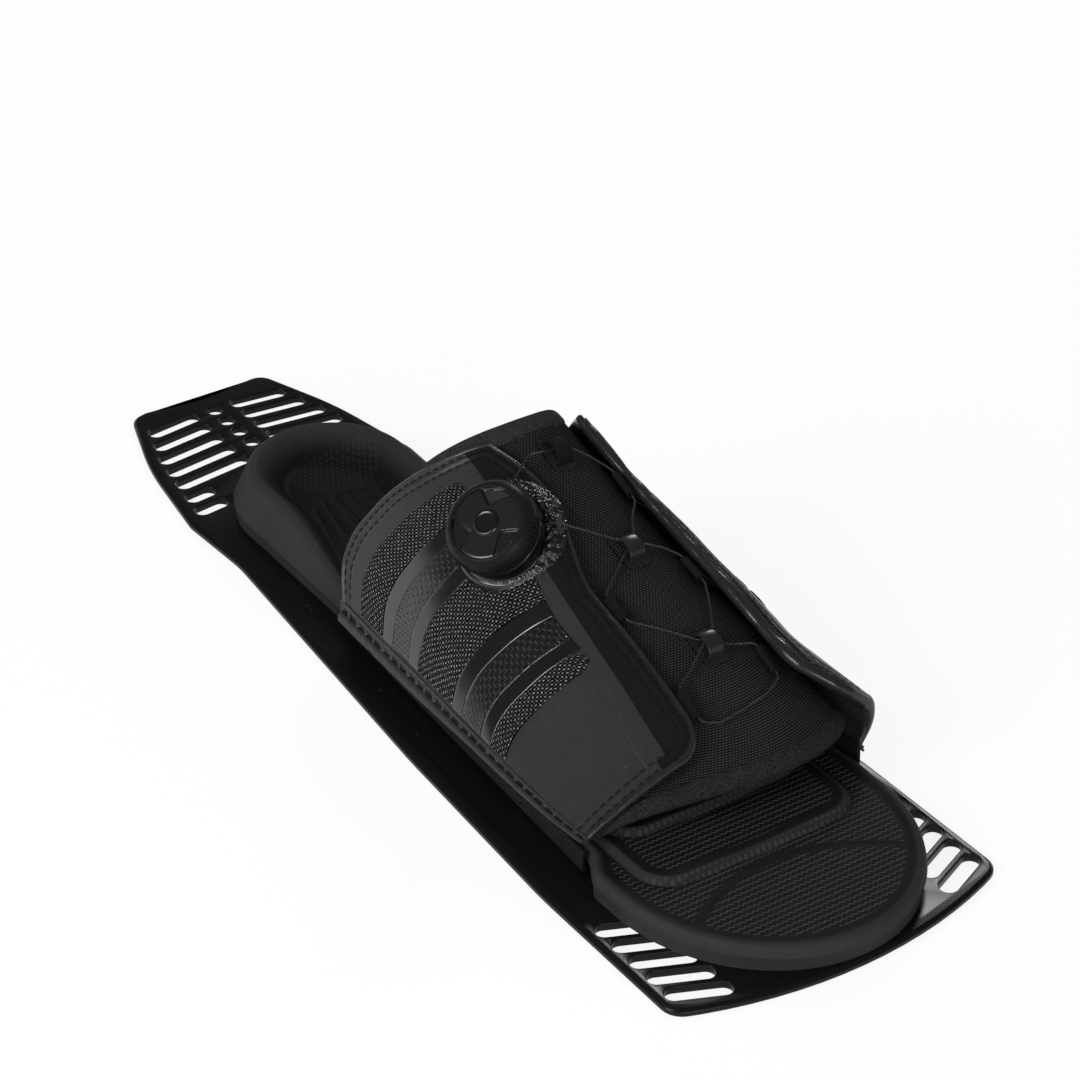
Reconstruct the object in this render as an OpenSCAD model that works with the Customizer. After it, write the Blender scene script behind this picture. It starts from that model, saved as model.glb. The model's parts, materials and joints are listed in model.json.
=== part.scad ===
// Rear toe binding of a slalom water ski: a slotted plate, a moulded footbed,
// a laced upper of two flaps over a tongue, and a lacing dial on the right flap.
// Frame: +X to the toe, +Y to the wearer's left, +Z up, origin under the plate's middle.

/* [Plate] */
// Length of the plate from tail to toe
plate_length = 426.8; // [400:1:460]
// Thickness of the plate
plate_thickness = 3; // [2.5:0.25:4]
// Half width at the tail corners
tail_half_width = 29.5; // [27:0.5:32]
// Half width at the corner behind the heel
heel_half_width = 49.5; // [48:0.5:54]
// Half width at the toe corners
toe_half_width = 66.7; // [64:0.5:74]
// Depth of the hollow in the tail edge
tail_hollow = 4.4; // [2:0.2:6]
// Radius of the toe edge
toe_edge_radius = 172; // [150:2:220]
// Chamfer along the plate's top edge
plate_chamfer = 1; // [0.4:0.1:1.2]

/* [Fixing slots] */
// Distance from one slot to the next
slot_pitch = 9.525; // [9:0.125:11]
// Width of a slot
slot_width = 6.6; // [6:0.1:7]
// Diameter of a centre hole at the tail
centre_hole_d = 6.4; // [5.5:0.1:7]
// Centre holes at the tail
centre_hole_count = 4; // [2:1:4]
// Long slots on each side at the tail
tail_slot_count = 5; // [3:1:5]
// Slots on each side at the toe
toe_slot_count = 5; // [3:1:5]
// Slant of the tail slots
tail_slot_slant = 7; // [0:1:12]
// Slant of the toe slots
toe_slot_slant = 24; // [10:1:28]

/* [Footbed] */
// Length of the footbed
footbed_length = 362; // [350:1:380]
// Half width of the heel
footbed_heel_half_width = 37; // [33:0.5:39]
// Half width of the toe
footbed_toe_half_width = 55.5; // [50:0.5:58]
// Height of the footbed at the toe
footbed_height = 9.5; // [8.5:0.5:12]
// Height of the heel rim
heel_rim_height = 19; // [15:0.5:24]
// Width of the heel rim's round top
heel_rim_width = 8; // [6:0.5:10]
// Rise of each step in the toe zone
toe_step_rise = 2.25; // [1:0.25:3]

/* [Upper] */
// Height of the hem above the plate
hem_height = 11; // [10:0.5:14]
// Height of the upper's rear edge above the plate
upper_rear_height = 82; // [76:1:92]
// Thickness of the tongue
tongue_thickness = 3; // [2.5:0.25:4]
// Thickness of a flap
flap_thickness = 2.4; // [2:0.2:3]
// Lift of the right flap's lacing edge
right_flap_lift = 2.5; // [1.5:0.5:4]
// Lift of the left flap's lacing edge
left_flap_lift = 3.5; // [2:0.5:5]
// Foam in the middle of the left flap
left_foam_thickness = 3; // [1:0.5:4]
// Rise of the left flap's flared front end
left_flare_rise = 5.6; // [2:0.2:7]
// Thickness of the mesh insets, stripes and bands
trim_thickness = 0.5; // [0.4:0.1:0.8]
// Clearance between sewn layers
layer_gap = 0.25; // [0.2:0.05:0.4]
// Thickness of the skirt
skirt_thickness = 2; // [1.5:0.25:2.5]

/* [Clamp strips] */
// Width of a clamp strip
strip_width = 10; // [8:0.5:11]
// Thickness of a clamp strip
strip_thickness = 2.5; // [2:0.25:3]
// Screws in each strip
strip_screw_count = 5; // [3:1:6]
// Diameter of the strip screws
screw_d = 4; // [3:0.5:5]

/* [Lacing] */
// Diameter of the lace
lace_d = 1.1; // [0.9:0.1:1.3]
// Length of a lace loop
loop_length = 11; // [8:0.5:13]
// Width of a keeper strap
keeper_width = 6.5; // [5:0.5:8]

/* [Dial] */
// Diameter of the knob's grip
knob_d = 34; // [32:0.5:36]
// Height of the knob
knob_height = 8.6; // [8:0.2:10]
// Diameter of the axle
axle_d = 6; // [5:0.25:7]
// Running clearance on the axle
axle_clearance = 0.05; // [0.03:0.01:0.08]
// Teeth of the ratchet ring
ratchet_teeth = 24; // [18:1:30]
// Ribs in each group on the grip
grip_ribs = 5; // [3:1:7]

/* [Hidden] */
$fn = 64;
through = 1;

function unit(v) = v / norm(v);
function mix(a, b, f) = a + (b - a) * f;
function clamp01(f) = min(1, max(0, f));
function ease(f) = let (g = clamp01(f)) g * g * (3 - 2 * g);
function bump(x, centre, reach) = ease(1 - abs(x - centre) / reach);
function total(list, i = 0) = i == len(list) ? 0 : list[i] + total(list, i + 1);
// A table of stations read with its corners eased over a reach
function eased_lookup(x, table, reach) =
    total([for (k = [-2 : 2]) lookup(x + k * reach / 2, table)]) / 5;

// Points of an arc that rounds the corner p between a and b
function corner_arc(a, p, b, r, steps) =
    let (u = unit(a - p), v = unit(b - p), half = acos(u * v) / 2,
        c = p + unit(u + v) * r / sin(half), s = p + u * r / tan(half) - c,
        e = p + v * r / tan(half) - c, from = atan2(s[1], s[0]),
        turn = atan2(s[0] * e[1] - s[1] * e[0], s * e))
    [for (k = [0 : steps]) c + r * [cos(from + turn * k / steps), sin(from + turn * k / steps)]];

// An outline whose corners [x, y, radius] are rounded, or kept where the radius is 0
function rounded(corners, steps) =
    let (n = len(corners), xy = [for (c = corners) [c[0], c[1]]])
    [for (i = [0 : n - 1]) each corners[i][2] == 0 ? [xy[i]]
        : corner_arc(xy[(i + n - 1) % n], xy[i], xy[(i + 1) % n], corners[i][2], steps)];

// An outline moved inwards by a distance; the outline runs anticlockwise
function inset(points, distance) =
    let (n = len(points))
    [for (i = [0 : n - 1])
        let (t = unit(points[(i + 1) % n] - points[(i + n - 1) % n]))
        points[i] + distance * [-t[1], t[0]]];

// Faces of a stack of rings, each an anticlockwise outline, the first one lowest
function ring_faces(n, rings) =
    [for (r = [0 : rings - 2]) for (i = [0 : n - 1])
        let (a = r * n + i, b = r * n + (i + 1) % n)
        each [[a, a + n, b], [b, a + n, b + n]]];

module stack(rings) {
    n = len(rings[0]);
    last = (len(rings) - 1) * n;
    polyhedron([for (r = rings) each r],
        concat(ring_faces(n, len(rings)), [[for (i = [0 : n - 1]) i]],
            [[for (i = [n - 1 : -1 : 0]) last + i]]));
}

// A thick patch between an outer and an inner surface, both functions of u and v from 0 to 1
module patch(outer, inner, nu, nv) {
    w = nv + 1;
    n = (nu + 1) * w;
    points = concat([for (i = [0 : nu]) for (j = [0 : nv]) outer(i / nu, j / nv)],
        [for (i = [0 : nu]) for (j = [0 : nv]) inner(i / nu, j / nv)]);
    skins = [for (i = [0 : nu - 1]) for (j = [0 : nv - 1])
        let (a = i * w + j, b = a + 1, c = a + w, d = c + 1)
        each [[a, b, c], [b, d, c], [n + a, n + c, n + b], [n + b, n + c, n + d]]];
    ends = [for (j = [0 : nv - 1])
        let (a = j, c = nu * w + j)
        each [[a, n + a, a + 1], [a + 1, n + a, n + a + 1], [c, c + 1, n + c], [c + 1, n + c + 1, n + c]]];
    sides = [for (i = [0 : nu - 1])
        let (a = i * w, c = a + nv)
        each [[a, a + w, n + a], [a + w, n + a + w, n + a], [c, n + c, c + w], [c + w, n + c, n + c + w]]];
    polyhedron(points, concat(skins, ends, sides));
}

// A round tube along a route, with rings square to it
module tube(route, radius, sides) {
    m = len(route);
    tangent = [for (i = [0 : m - 1]) unit(route[min(i + 1, m - 1)] - route[max(i - 1, 0)])];
    rings = [for (i = [0 : m - 1])
        let (t = tangent[i], ref = abs(t[2]) > 0.9 ? [1, 0, 0] : [0, 0, 1],
            s = unit(cross(t, ref)), u = cross(t, s))
        [for (k = [0 : sides - 1])
            let (a = 360 * k / sides)
            route[i] + radius * (cos(a) * s + sin(a) * u)]];
    stack(rings);
}

// Plate outline and its hole pattern
toe_x = plate_length / 2;
tail_x = -plate_length / 2;
heel_corner_x = tail_x + 81;
toe_corner_x = toe_x - (toe_edge_radius - sqrt(pow(toe_edge_radius, 2) - pow(toe_half_width, 2)));
// Distance by which the tail corner's rounding falls short of its vertex
tail_round_short = 0.83;
plate_side = [[tail_x - tail_round_short, tail_half_width, 7], [tail_x + 37, tail_half_width + 13, 150],
    [heel_corner_x, heel_half_width, 14], [heel_corner_x + 34, heel_half_width - 1.4, 70],
    [heel_corner_x + 172, mix(heel_half_width, toe_half_width, 0.67), 400],
    [heel_corner_x + 260, toe_half_width - 0.3, 300]];
toe_corner_reach = 9;
toe_arc_steps = 14;
function toe_arc_x(y) = toe_x - toe_edge_radius + sqrt(pow(toe_edge_radius, 2) - y * y);
toe_arc_y = toe_half_width - toe_corner_reach;
plate_outline = concat(
    rounded(concat([[tail_x + tail_hollow, 0, 60]], [for (p = plate_side) [p[0], -p[1], p[2]]],
        [[toe_corner_x, -toe_half_width, 8]],
        [for (k = [0 : toe_arc_steps]) let (y = mix(-toe_arc_y, toe_arc_y, k / toe_arc_steps))
            [toe_arc_x(y), y, 0]],
        [[toe_corner_x, toe_half_width, 8]],
        [for (i = [len(plate_side) - 1 : -1 : 0]) plate_side[i]]), 5));
bottom_ease = 0.5;

tail_hole_x = tail_x + 14.4;
tail_slot_inner_y = 7.4;
tail_slot_margin = 4.6;
short_slot_inner_y = 29.5;
short_slot_count = 2;
short_slot_shift = 3.4;
// Distances ahead of a slot at which the wing's width sets the slot's end
tail_slot_lead = 2;
short_slot_lead = 4;
toe_slot_inner_y = 42.5;
toe_slot_margin = 3;
toe_slot_x = toe_x - 14;

// Half width of the plate at a station behind the heel corner
function wing_half_width(x) = lookup(x, [for (p = plate_side) [p[0], p[1]]]);

// A slot from [x, y] to the half width y_end, slanted from the square across
module slot(x, y, y_end, slant) {
    length = (y_end - y - slot_width / 2) / cos(slant);
    translate([x, y, -through]) rotate([0, 0, -slant]) {
        cylinder(d = slot_width, h = plate_thickness + 2 * through);
        translate([-slot_width / 2, 0, 0]) cube([slot_width, length, plate_thickness + 2 * through]);
        translate([0, length, 0]) cylinder(d = slot_width, h = plate_thickness + 2 * through);
    }
}

module side_slots() {
    for (i = [0 : tail_slot_count - 1])
        let (x = tail_hole_x + i * slot_pitch)
        slot(x, tail_slot_inner_y + slot_width / 2,
            wing_half_width(x + tail_slot_lead) - tail_slot_margin, tail_slot_slant);
    for (i = [0 : short_slot_count - 1])
        let (x = tail_hole_x + (tail_slot_count + i) * slot_pitch)
        slot(x + short_slot_shift, short_slot_inner_y + slot_width / 2,
            wing_half_width(x + short_slot_lead) - tail_slot_margin, tail_slot_slant);
    for (i = [0 : toe_slot_count - 1])
        let (x = toe_slot_x - (toe_slot_count - 1 - i) * slot_pitch)
        slot(x, toe_slot_inner_y + slot_width / 2,
            toe_half_width - toe_slot_margin, -toe_slot_slant);
}

module base_plate() color("#141416") difference() {
    stack([for (level = [[bottom_ease, 0], [0, bottom_ease], [0, plate_thickness - plate_chamfer],
            [plate_chamfer * 1.2, plate_thickness]])
        [for (p = inset(plate_outline, level[0])) [p[0], p[1], level[1]]]]);
    for (i = [0 : centre_hole_count - 1])
        translate([tail_hole_x + i * slot_pitch, 0, -through])
            cylinder(d = centre_hole_d, h = plate_thickness + 2 * through);
    side_slots();
    mirror([0, 1, 0]) side_slots();
    for (side = [-1, 1]) at_strip_screws(side) {
        translate([0, 0, -through]) cylinder(d = screw_d + screw_play, h = plate_thickness + 2 * through);
        cylinder(d1 = screw_head_d + screw_play, d2 = screw_d, h = screw_head_h + screw_play / 2);
    }
}

// Upper: stations of the two hems and of the crown
upper_rear_x = -34;
upper_front_x = 128;
hem_z = plate_thickness + hem_height;
right_hem_y = [[upper_rear_x, -38], [upper_front_x, -48]];
left_hem_y = [[upper_rear_x, 42], [upper_front_x + 7, 57]];
crown_drop = [[-45, -12], [-6, 0], [50, 24], [97, 38], [145, 63]];
function hem_y_right(x) = lookup(x, right_hem_y);
function hem_y_left(x) = lookup(x, left_hem_y);
function crown_z(x) = plate_thickness + upper_rear_height - eased_lookup(x, crown_drop, 14);
right_handle = 34;
left_handle = 9;

// Section of the upper at a station, a cubic from the right hem (t = 0) to the left hem (t = 1)
function section_handles(x) = let (z = hem_z + (crown_z(x) - hem_z) / 0.75)
    [[hem_y_right(x), hem_z], [hem_y_right(x) + right_handle, z],
        [hem_y_left(x) + left_handle, z], [hem_y_left(x), hem_z]];
function cubic(p, t) = pow(1 - t, 3) * p[0] + 3 * pow(1 - t, 2) * t * p[1]
    + 3 * (1 - t) * t * t * p[2] + pow(t, 3) * p[3];
function cubic_slope(p, t) = pow(1 - t, 2) * (p[1] - p[0]) + 2 * (1 - t) * t * (p[2] - p[1])
    + t * t * (p[3] - p[2]);

// A point of the upper at station x and share t round the arch, d outside the lining
function upper(x, t, d) = let (p = section_handles(x), q = cubic(p, t), g = unit(cubic_slope(p, t)))
    [x, q[0] - g[1] * d, q[1] + g[0] * d];
function upper_normal(x, t) = let (e = 1, f = 0.01)
    unit(cross(upper(x + e, t, 0) - upper(x - e, t, 0), upper(x, t + f, 0) - upper(x, t - f, 0)));

flap_d = tongue_thickness + layer_gap;
flap_out = flap_d + flap_thickness;
trim_gap = 0.2;
trim_d = flap_out + trim_gap;

// Edges of the layers along the foot
function arch_share(t) = sin(180 * clamp01(t));
tongue_rear_crown_x = -4.8;
tongue_front_crown_x = 139.5;
flap_rear_crown_x = 5;
function tongue_rear(t) = mix(upper_rear_x - 1, tongue_rear_crown_x, pow(arch_share(t), 1.9));
function tongue_front(t) = mix(mix(upper_front_x - 4, upper_front_x - 16, t), tongue_front_crown_x,
    arch_share(t));
function flap_rear(t) = mix(upper_rear_x, flap_rear_crown_x, pow(arch_share(t), 2.4));
// The right flap's rear edge bulges back over the hem: distance in front of the upper's rear end
right_rear_line = [[0, 2], [0.02, -2], [0.05, -7], [0.09, -6], [0.166, 3.8], [0.268, 18.8], [0.39, 35]];
rear_line_reach = 0.012;
function right_rear(t) = upper_rear_x + (lookup(t - rear_line_reach, right_rear_line)
    + 2 * lookup(t, right_rear_line) + lookup(t + rear_line_reach, right_rear_line)) / 4;
// Front edges: station, reach and share of the flap's width of the rounded corner at the lacing edge
right_front = [130, 13, 0.2];
left_front = [133, 18, 0.55];
function front_edge(front, u) = let (q = clamp01(1 - (1 - u) / front[2]))
    front[0] - front[1] * (1 - sqrt(1 - q * q));
// Steps across a flap, closer together towards the lacing edge
function crowd(share) = 1 - pow(1 - share, 1.5);
dial_x = 26;
dial_t = 0.287;
right_edge_t = 0.362;
left_edge_t = 0.655;
dial_tab = 0.06;
function right_edge(x) = right_edge_t + dial_tab * bump(x, dial_x - 2, 42);
lift_start_t = 0.08;
left_lift_share = 0.2;
function right_lift(t) = right_flap_lift * ease((t - lift_start_t) / (right_edge_t - lift_start_t));
function left_lift(t) = left_flap_lift * ease(1 - (t - left_edge_t) / left_lift_share);
// The left flap fills out away from its hem, with foam along its middle and a flare at its front end
left_foam_x = [10, 55];
left_flare_x = [98, 134];
left_fill_t = [0.985, 0.855];
function left_fill(t) = ease((left_fill_t[0] - t) / (left_fill_t[0] - left_fill_t[1]));
function left_foam(x, t) = left_foam_thickness * left_fill(t)
    * ease((x - left_foam_x[0]) / (left_foam_x[1] - left_foam_x[0]));
function left_flare(x, t) = left_flare_rise * left_fill(t)
    * ease((x - left_flare_x[0]) / (left_flare_x[1] - left_flare_x[0]));

// A share u across the right flap, from hem to lacing edge, and v from rear to front
function right_xt(u, v) = let (x0 = mix(right_rear(u * right_edge_t), front_edge(right_front, u), v))
    [x0, u * right_edge(x0)];
function left_xt(u, v) = let (t = mix(1, left_edge_t, u))
    [mix(flap_rear(t), front_edge(left_front, u), v), t];
function right_flap_point(u, v, d) = let (p = right_xt(u, v)) upper(p[0], p[1], d + right_lift(p[1]));
function left_lining_point(u, v, d) = let (p = left_xt(u, v))
    upper(p[0], p[1], d + left_lift(p[1]) + left_flare(p[0], p[1]));
function left_flap_point(u, v, d) = let (p = left_xt(u, v))
    left_lining_point(u, v, d + left_foam(p[0], p[1]));

module right_patch(u0, u1, v0, v1, d0, d1, nu, nv)
    patch(function(a, b) right_flap_point(mix(u0, u1, b), mix(v0, v1, a), d1),
        function(a, b) right_flap_point(mix(u0, u1, b), mix(v0, v1, a), d0), nu, nv);
module left_patch(u0, u1, v0, v1, d0, d1, nu, nv)
    patch(function(a, b) left_flap_point(mix(u1, u0, b), mix(v0, v1, a), d1),
        function(a, b) left_flap_point(mix(u1, u0, b), mix(v0, v1, a), d0), nu, nv);

// The right flap's outer surface under the dial, and the way it faces
function flap_point(x, t) = upper(x, t, flap_out + right_lift(t));
dial_seat = flap_point(dial_x, dial_t);
dial_axis = let (e = 4, f = 0.03)
    unit(cross(flap_point(dial_x + e, dial_t) - flap_point(dial_x - e, dial_t),
        flap_point(dial_x, dial_t + f) - flap_point(dial_x, dial_t - f)));
module facing(n) {
    turn = atan2(n[1], n[0]);
    rotate([0, acos(n[2]), turn]) rotate([0, 0, -turn]) children();
}
module dial_frame() translate(dial_seat) facing(dial_axis) children();

// Places on the upper: a child's Z axis leaves the surface and its X axis stays near +X
module on_upper(x, t, d) translate(upper(x, t, d)) facing(upper_normal(x, t)) children();

tongue_steps = 20;
module tongue() color("#1b1b1d")
    patch(function(a, b) upper(mix(tongue_rear(b), tongue_front(b), a), b, tongue_thickness),
        function(a, b) upper(mix(tongue_rear(b), tongue_front(b), a), b, 0), 14, tongue_steps);

// A bound edge of the tongue, at a distance beyond its rear (-1) or front (1) edge
binding_r = 1.7;
binding_gap = 0.85;
module tongue_binding(side) {
    beyond = side * (binding_r + binding_gap);
    tube([for (k = [0 : tongue_steps]) let (t = min(max(k / tongue_steps, 0.01), 0.99))
        upper((side < 0 ? tongue_rear(t) : tongue_front(t)) + beyond, t, tongue_thickness / 2)],
        binding_r, 8);
}
module tongue_front_binding() color("#202022") tongue_binding(1);
module tongue_rear_binding() color("#161618") tongue_binding(-1);

// Shares of the flaps that the trim takes: v runs from the rear edge to the front edge
mesh_v = [[0.092, 0.187], [0.338, 0.477], [0.638, 0.692]];
stripe_v = [[0.19, 0.229], [0.232, 0.296], [0.299, 0.335], [0.48, 0.519], [0.522, 0.595], [0.598, 0.635]];
trim_u = [0.05, 0.73];
left_band_u = [0.80, 0.90];
left_band_v = [0.30, 0.97];
// The right band runs straight past the dial: its stations, and its two edges as shares round the arch
right_band_x = [46, 119];
right_band_low = [[45, 0.288], [83, 0.268], [117, 0.218]];
right_band_high = [[45, 0.314], [83, 0.289], [120, 0.27]];
function right_band_point(a, b, d) = let (x = mix(right_band_x[0], right_band_x[1], a),
    t = mix(lookup(x, right_band_low), lookup(x, right_band_high), b)) upper(x, t, d + right_lift(t));

// The dial's hole through the right flap and its trim
module dial_hole(extra) dial_frame()
    translate([0, 0, -flap_out]) cylinder(r = flange_r + extra, h = 2 * flap_out);

module right_flap() color("#1c1c1e") difference() {
    patch(function(a, b) right_flap_point(crowd(b), a, flap_out),
        function(a, b) right_flap_point(crowd(b), a, flap_d), 16, 14);
    dial_hole(layer_gap);
}
module left_flap() color("#1c1c1e")
    patch(function(a, b) left_flap_point(crowd(1 - b), a, flap_out),
        function(a, b) left_lining_point(crowd(1 - b), a, flap_d), 16, 14);

module right_trim(spans) difference() {
    for (v = spans) right_patch(trim_u[0], trim_u[1], v[0], v[1], trim_d, trim_d + trim_thickness, 2, 10);
    dial_hole(1);
}
module left_trim(spans)
    for (v = spans) left_patch(trim_u[0], trim_u[1], v[0], v[1], trim_d, trim_d + trim_thickness, 2, 8);
module right_flap_mesh() color("#2a2a2c") right_trim(mesh_v);
module left_flap_mesh() color("#2a2a2c") left_trim(mesh_v);
module right_flap_stripes() color("#101012") right_trim(stripe_v);
module left_flap_stripes() color("#101012") left_trim(stripe_v);
module right_edge_band() color("#3a3a3d") difference() {
    patch(function(a, b) right_band_point(a, b, trim_d + trim_thickness),
        function(a, b) right_band_point(a, b, trim_d), 10, 2);
    dial_hole(1);
}
module left_edge_band() color("#3a3a3d")
    left_patch(left_band_u[0], left_band_u[1], left_band_v[0], left_band_v[1],
        trim_d, trim_d + trim_thickness, 10, 2);

// Hem strips over the flaps' lower edges
hem_thickness = 1.2;
hem_u = [-0.03, 0.035];
module right_hem() color("#232325")
    right_patch(hem_u[0], hem_u[1], 0, 1, trim_d, trim_d + hem_thickness, 20, 3);
module left_hem() color("#232325")
    left_patch(hem_u[0], hem_u[1], 0, 1, trim_d, trim_d + hem_thickness, 20, 3);

// Skirts: a wall from the plate to the hem with a margin turned in under the footbed
skirt_out = 2.6;
margin_thickness = 1.5;
margin_width = strip_width + 1.5;
seat_gap = 0.05;
skirt_foot = plate_thickness + seat_gap;
skirt_right_x = [upper_rear_x, upper_front_x];
skirt_left_x = [upper_rear_x, upper_front_x + 7];
function skirt_span(side) = side < 0 ? skirt_right_x : skirt_left_x;
function skirt_hem_y(side, x) = side < 0 ? -hem_y_right(x) : hem_y_left(x);
function skirt_profile(side, x) =
    let (out = skirt_hem_y(side, x) + skirt_out, in = out - skirt_thickness, end = in - margin_width,
        fall = unit(cubic_slope(section_handles(x), side < 0 ? 0 : 1))[0], brim = hem_z - layer_gap,
        ring = [[out, skirt_foot], [end, skirt_foot], [end, skirt_foot + margin_thickness],
            [in, skirt_foot + margin_thickness], [in, brim + fall * (skirt_out - skirt_thickness)],
            [out, brim + fall * tongue_thickness]])
    [for (k = [0 : 5]) let (p = ring[side < 0 ? k : 5 - k]) [x, side * p[0], p[1]]];
module skirt(side) difference() {
    span = skirt_span(side);
    stack([for (k = [0 : 12]) skirt_profile(side, mix(span[0], span[1], k / 12))]);
    at_strip_screws(side) cylinder(d = screw_d + 2 * screw_play, h = hem_z);
}
module right_skirt() color("#19191b") skirt(-1);
module left_skirt() color("#19191b") skirt(1);

// Clamp strips under the footbed, drawn down by countersunk screws from below the plate
strip_end_gap = 8;
strip_foot = skirt_foot + margin_thickness + seat_gap;
screw_end_gap = 10;
screw_head_d = 8;
screw_head_h = 2;
screw_play = 0.4;
screw_socket_d = 2.5;
screw_socket_h = 1.4;
thread_play = 0.1;
function strip_length(side) = skirt_span(side)[1] - skirt_span(side)[0] - 2 * strip_end_gap;
module at_strip(side) {
    span = skirt_span(side);
    middle = (span[0] + span[1]) / 2;
    rise = skirt_hem_y(side, span[1]) - skirt_hem_y(side, span[0]);
    inward = skirt_out - skirt_thickness - 1 - strip_width / 2;
    translate([middle, side * (skirt_hem_y(side, middle) + inward), 0])
        rotate([0, 0, side * atan2(rise, span[1] - span[0])]) children();
}
module at_strip_screws(side) at_strip(side)
    for (i = [0 : strip_screw_count - 1])
        let (reach = strip_length(side) / 2 - screw_end_gap)
        translate([mix(-reach, reach, i / (strip_screw_count - 1)), 0, 0]) children();
module clamp_strip(side) difference() {
    at_strip(side) translate([-strip_length(side) / 2, -strip_width / 2, strip_foot])
        cube([strip_length(side), strip_width, strip_thickness]);
    at_strip_screws(side) cylinder(d = screw_d + thread_play, h = hem_z);
}
module right_clamp_strip() color("silver") clamp_strip(-1);
module left_clamp_strip() color("silver") clamp_strip(1);
module plate_screws() color("#9a9a9c")
    for (side = [-1, 1]) at_strip_screws(side) difference() {
        union() {
            translate([0, 0, seat_gap]) cylinder(d1 = screw_head_d, d2 = screw_d, h = screw_head_h);
            translate([0, 0, seat_gap]) cylinder(d = screw_d, h = strip_foot + strip_thickness - seat_gap);
        }
        cylinder(d = screw_socket_d, h = screw_socket_h, $fn = 6);
    }

// Footbed: rings drawn in from its outline towards a spine, over an undercut for the strips
footbed_heel_x = -150;
footbed_toe_x = footbed_heel_x + footbed_length;
heel_reach = 38;
toe_reach = 62;
footbed_gap = 0.3;
undercut_height = margin_thickness + strip_thickness + 0.6;
spine_heel_x = footbed_heel_x + heel_reach;
spine_toe_x = footbed_toe_x - toe_reach;
footbed_skew = [[-60, 1], [60, 2], [150, 2.5]];
function footbed_mid_y(x) = lookup(x, footbed_skew);
function footbed_side(side, x) =
    let (span = skirt_span(side), play = skirt_out - skirt_thickness - footbed_gap)
    eased_lookup(x, [[spine_heel_x, footbed_heel_half_width + side],
        [span[0] - 14, footbed_heel_half_width + 1 + side],
        [span[0], skirt_hem_y(side, span[0]) + play], [span[1] + 4, skirt_hem_y(side, span[1]) + play],
        [span[1] + 8, footbed_toe_half_width + 1.5 * side],
        [spine_toe_x + 20, footbed_toe_half_width + 1.5 * side]], 4);
function end_share(x) = x < spine_heel_x ? sqrt(1 - pow((spine_heel_x - x) / heel_reach, 2))
    : x > spine_toe_x ? sqrt(1 - pow((x - spine_toe_x) / toe_reach, 2)) : 1;
footbed_steps = 44;
function footbed_x(k) = mix(footbed_heel_x, footbed_toe_x, (1 - cos(180 * k / footbed_steps)) / 2);
footbed_rim = [for (i = [0 : 2 * footbed_steps - 1])
    let (side = i <= footbed_steps ? -1 : 1, k = side < 0 ? i : 2 * footbed_steps - i, x = footbed_x(k),
        ends = k == 0 || k == footbed_steps)
    [x, ends ? footbed_mid_y(x) : mix(footbed_mid_y(x), side * footbed_side(side, x), end_share(x)), side]];
function heel_share(x) = ease((-25 - x) / 80);
strip_room = 5;
function undercut(side, x) = let (span = skirt_span(side))
    (strip_width + strip_room) * ease((x - span[0] + 12) / 8) * ease((span[1] + 9 - x) / 6);
function rim_z(x) = plate_thickness + mix(footbed_height, heel_rim_height, heel_share(x));
floor_drop = 0.4;
floor_z = plate_thickness + footbed_height - floor_drop;
// One point of the footbed: drawn in by a distance, or by a share of the way to the spine
function drawn_in(p, distance, share) =
    let (q = [min(max(p[0], spine_heel_x), spine_toe_x), footbed_mid_y(p[0])],
        v = q - [p[0], p[1]], l = norm(v))
    [p[0], p[1]] + v * min(max(distance / l, share), 0.97);
function footbed_ring(level) = [for (p = footbed_rim)
    let (x = p[0], h = heel_share(x), u = undercut(p[2], x), foot = plate_thickness + seat_gap,
        spec = level == 0 ? [u + 0.6, 0, foot]
            : level == 1 ? [u + 0.3, 0, foot + undercut_height]
            : level == 2 ? [0.1, 0, foot + undercut_height + 0.4]
            : level == 3 ? [mix(0.6, 3.5, h), 0, mix(foot + undercut_height + 0.8, rim_z(x), 0.55)]
            : level == 4 ? [mix(1.4, 5.5, h), 0, rim_z(x) - mix(0.7, 1.6, h)]
            : level == 5 ? [mix(2.8, 8, h), 0, rim_z(x)]
            : level == 6 ? [mix(4, 6 + heel_rim_width / 2, h), 0, rim_z(x) - mix(0.1, 0.9, h)]
            : level == 7 ? [mix(5, 8 + heel_rim_width, h), 0, mix(floor_z, rim_z(x), 0.35)]
            : level == 8 ? [mix(7, 13 + heel_rim_width, h), 0, floor_z]
            : [0, 0.92, floor_z - 0.3 * h],
        q = drawn_in(p, spec[0], spec[1]))
    [q[0], q[1], spec[2]]];
footbed_levels = 10;
module footbed_body() {
    n = 2 * footbed_steps;
    last = (footbed_levels - 1) * n;
    polyhedron([for (level = [0 : footbed_levels - 1]) each footbed_ring(level)],
        concat(ring_faces(n, footbed_levels), strip_cap(n, 0, false), strip_cap(n, last, true)));
}
// Cap of a ring whose two sides face each other
function strip_cap(n, start, up) = [for (k = [0 : n / 2 - 1])
    let (a = start + k, b = start + k + 1, c = start + (n - k - 1) % n, d = start + (n - k) % n)
    each k == 0 ? [up ? [a, c, b] : [a, b, c]] : k == n / 2 - 1 ? [up ? [a, d, b] : [a, b, d]]
        : up ? [[a, d, c], [a, c, b]] : [[a, c, d], [a, b, c]]];
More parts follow.
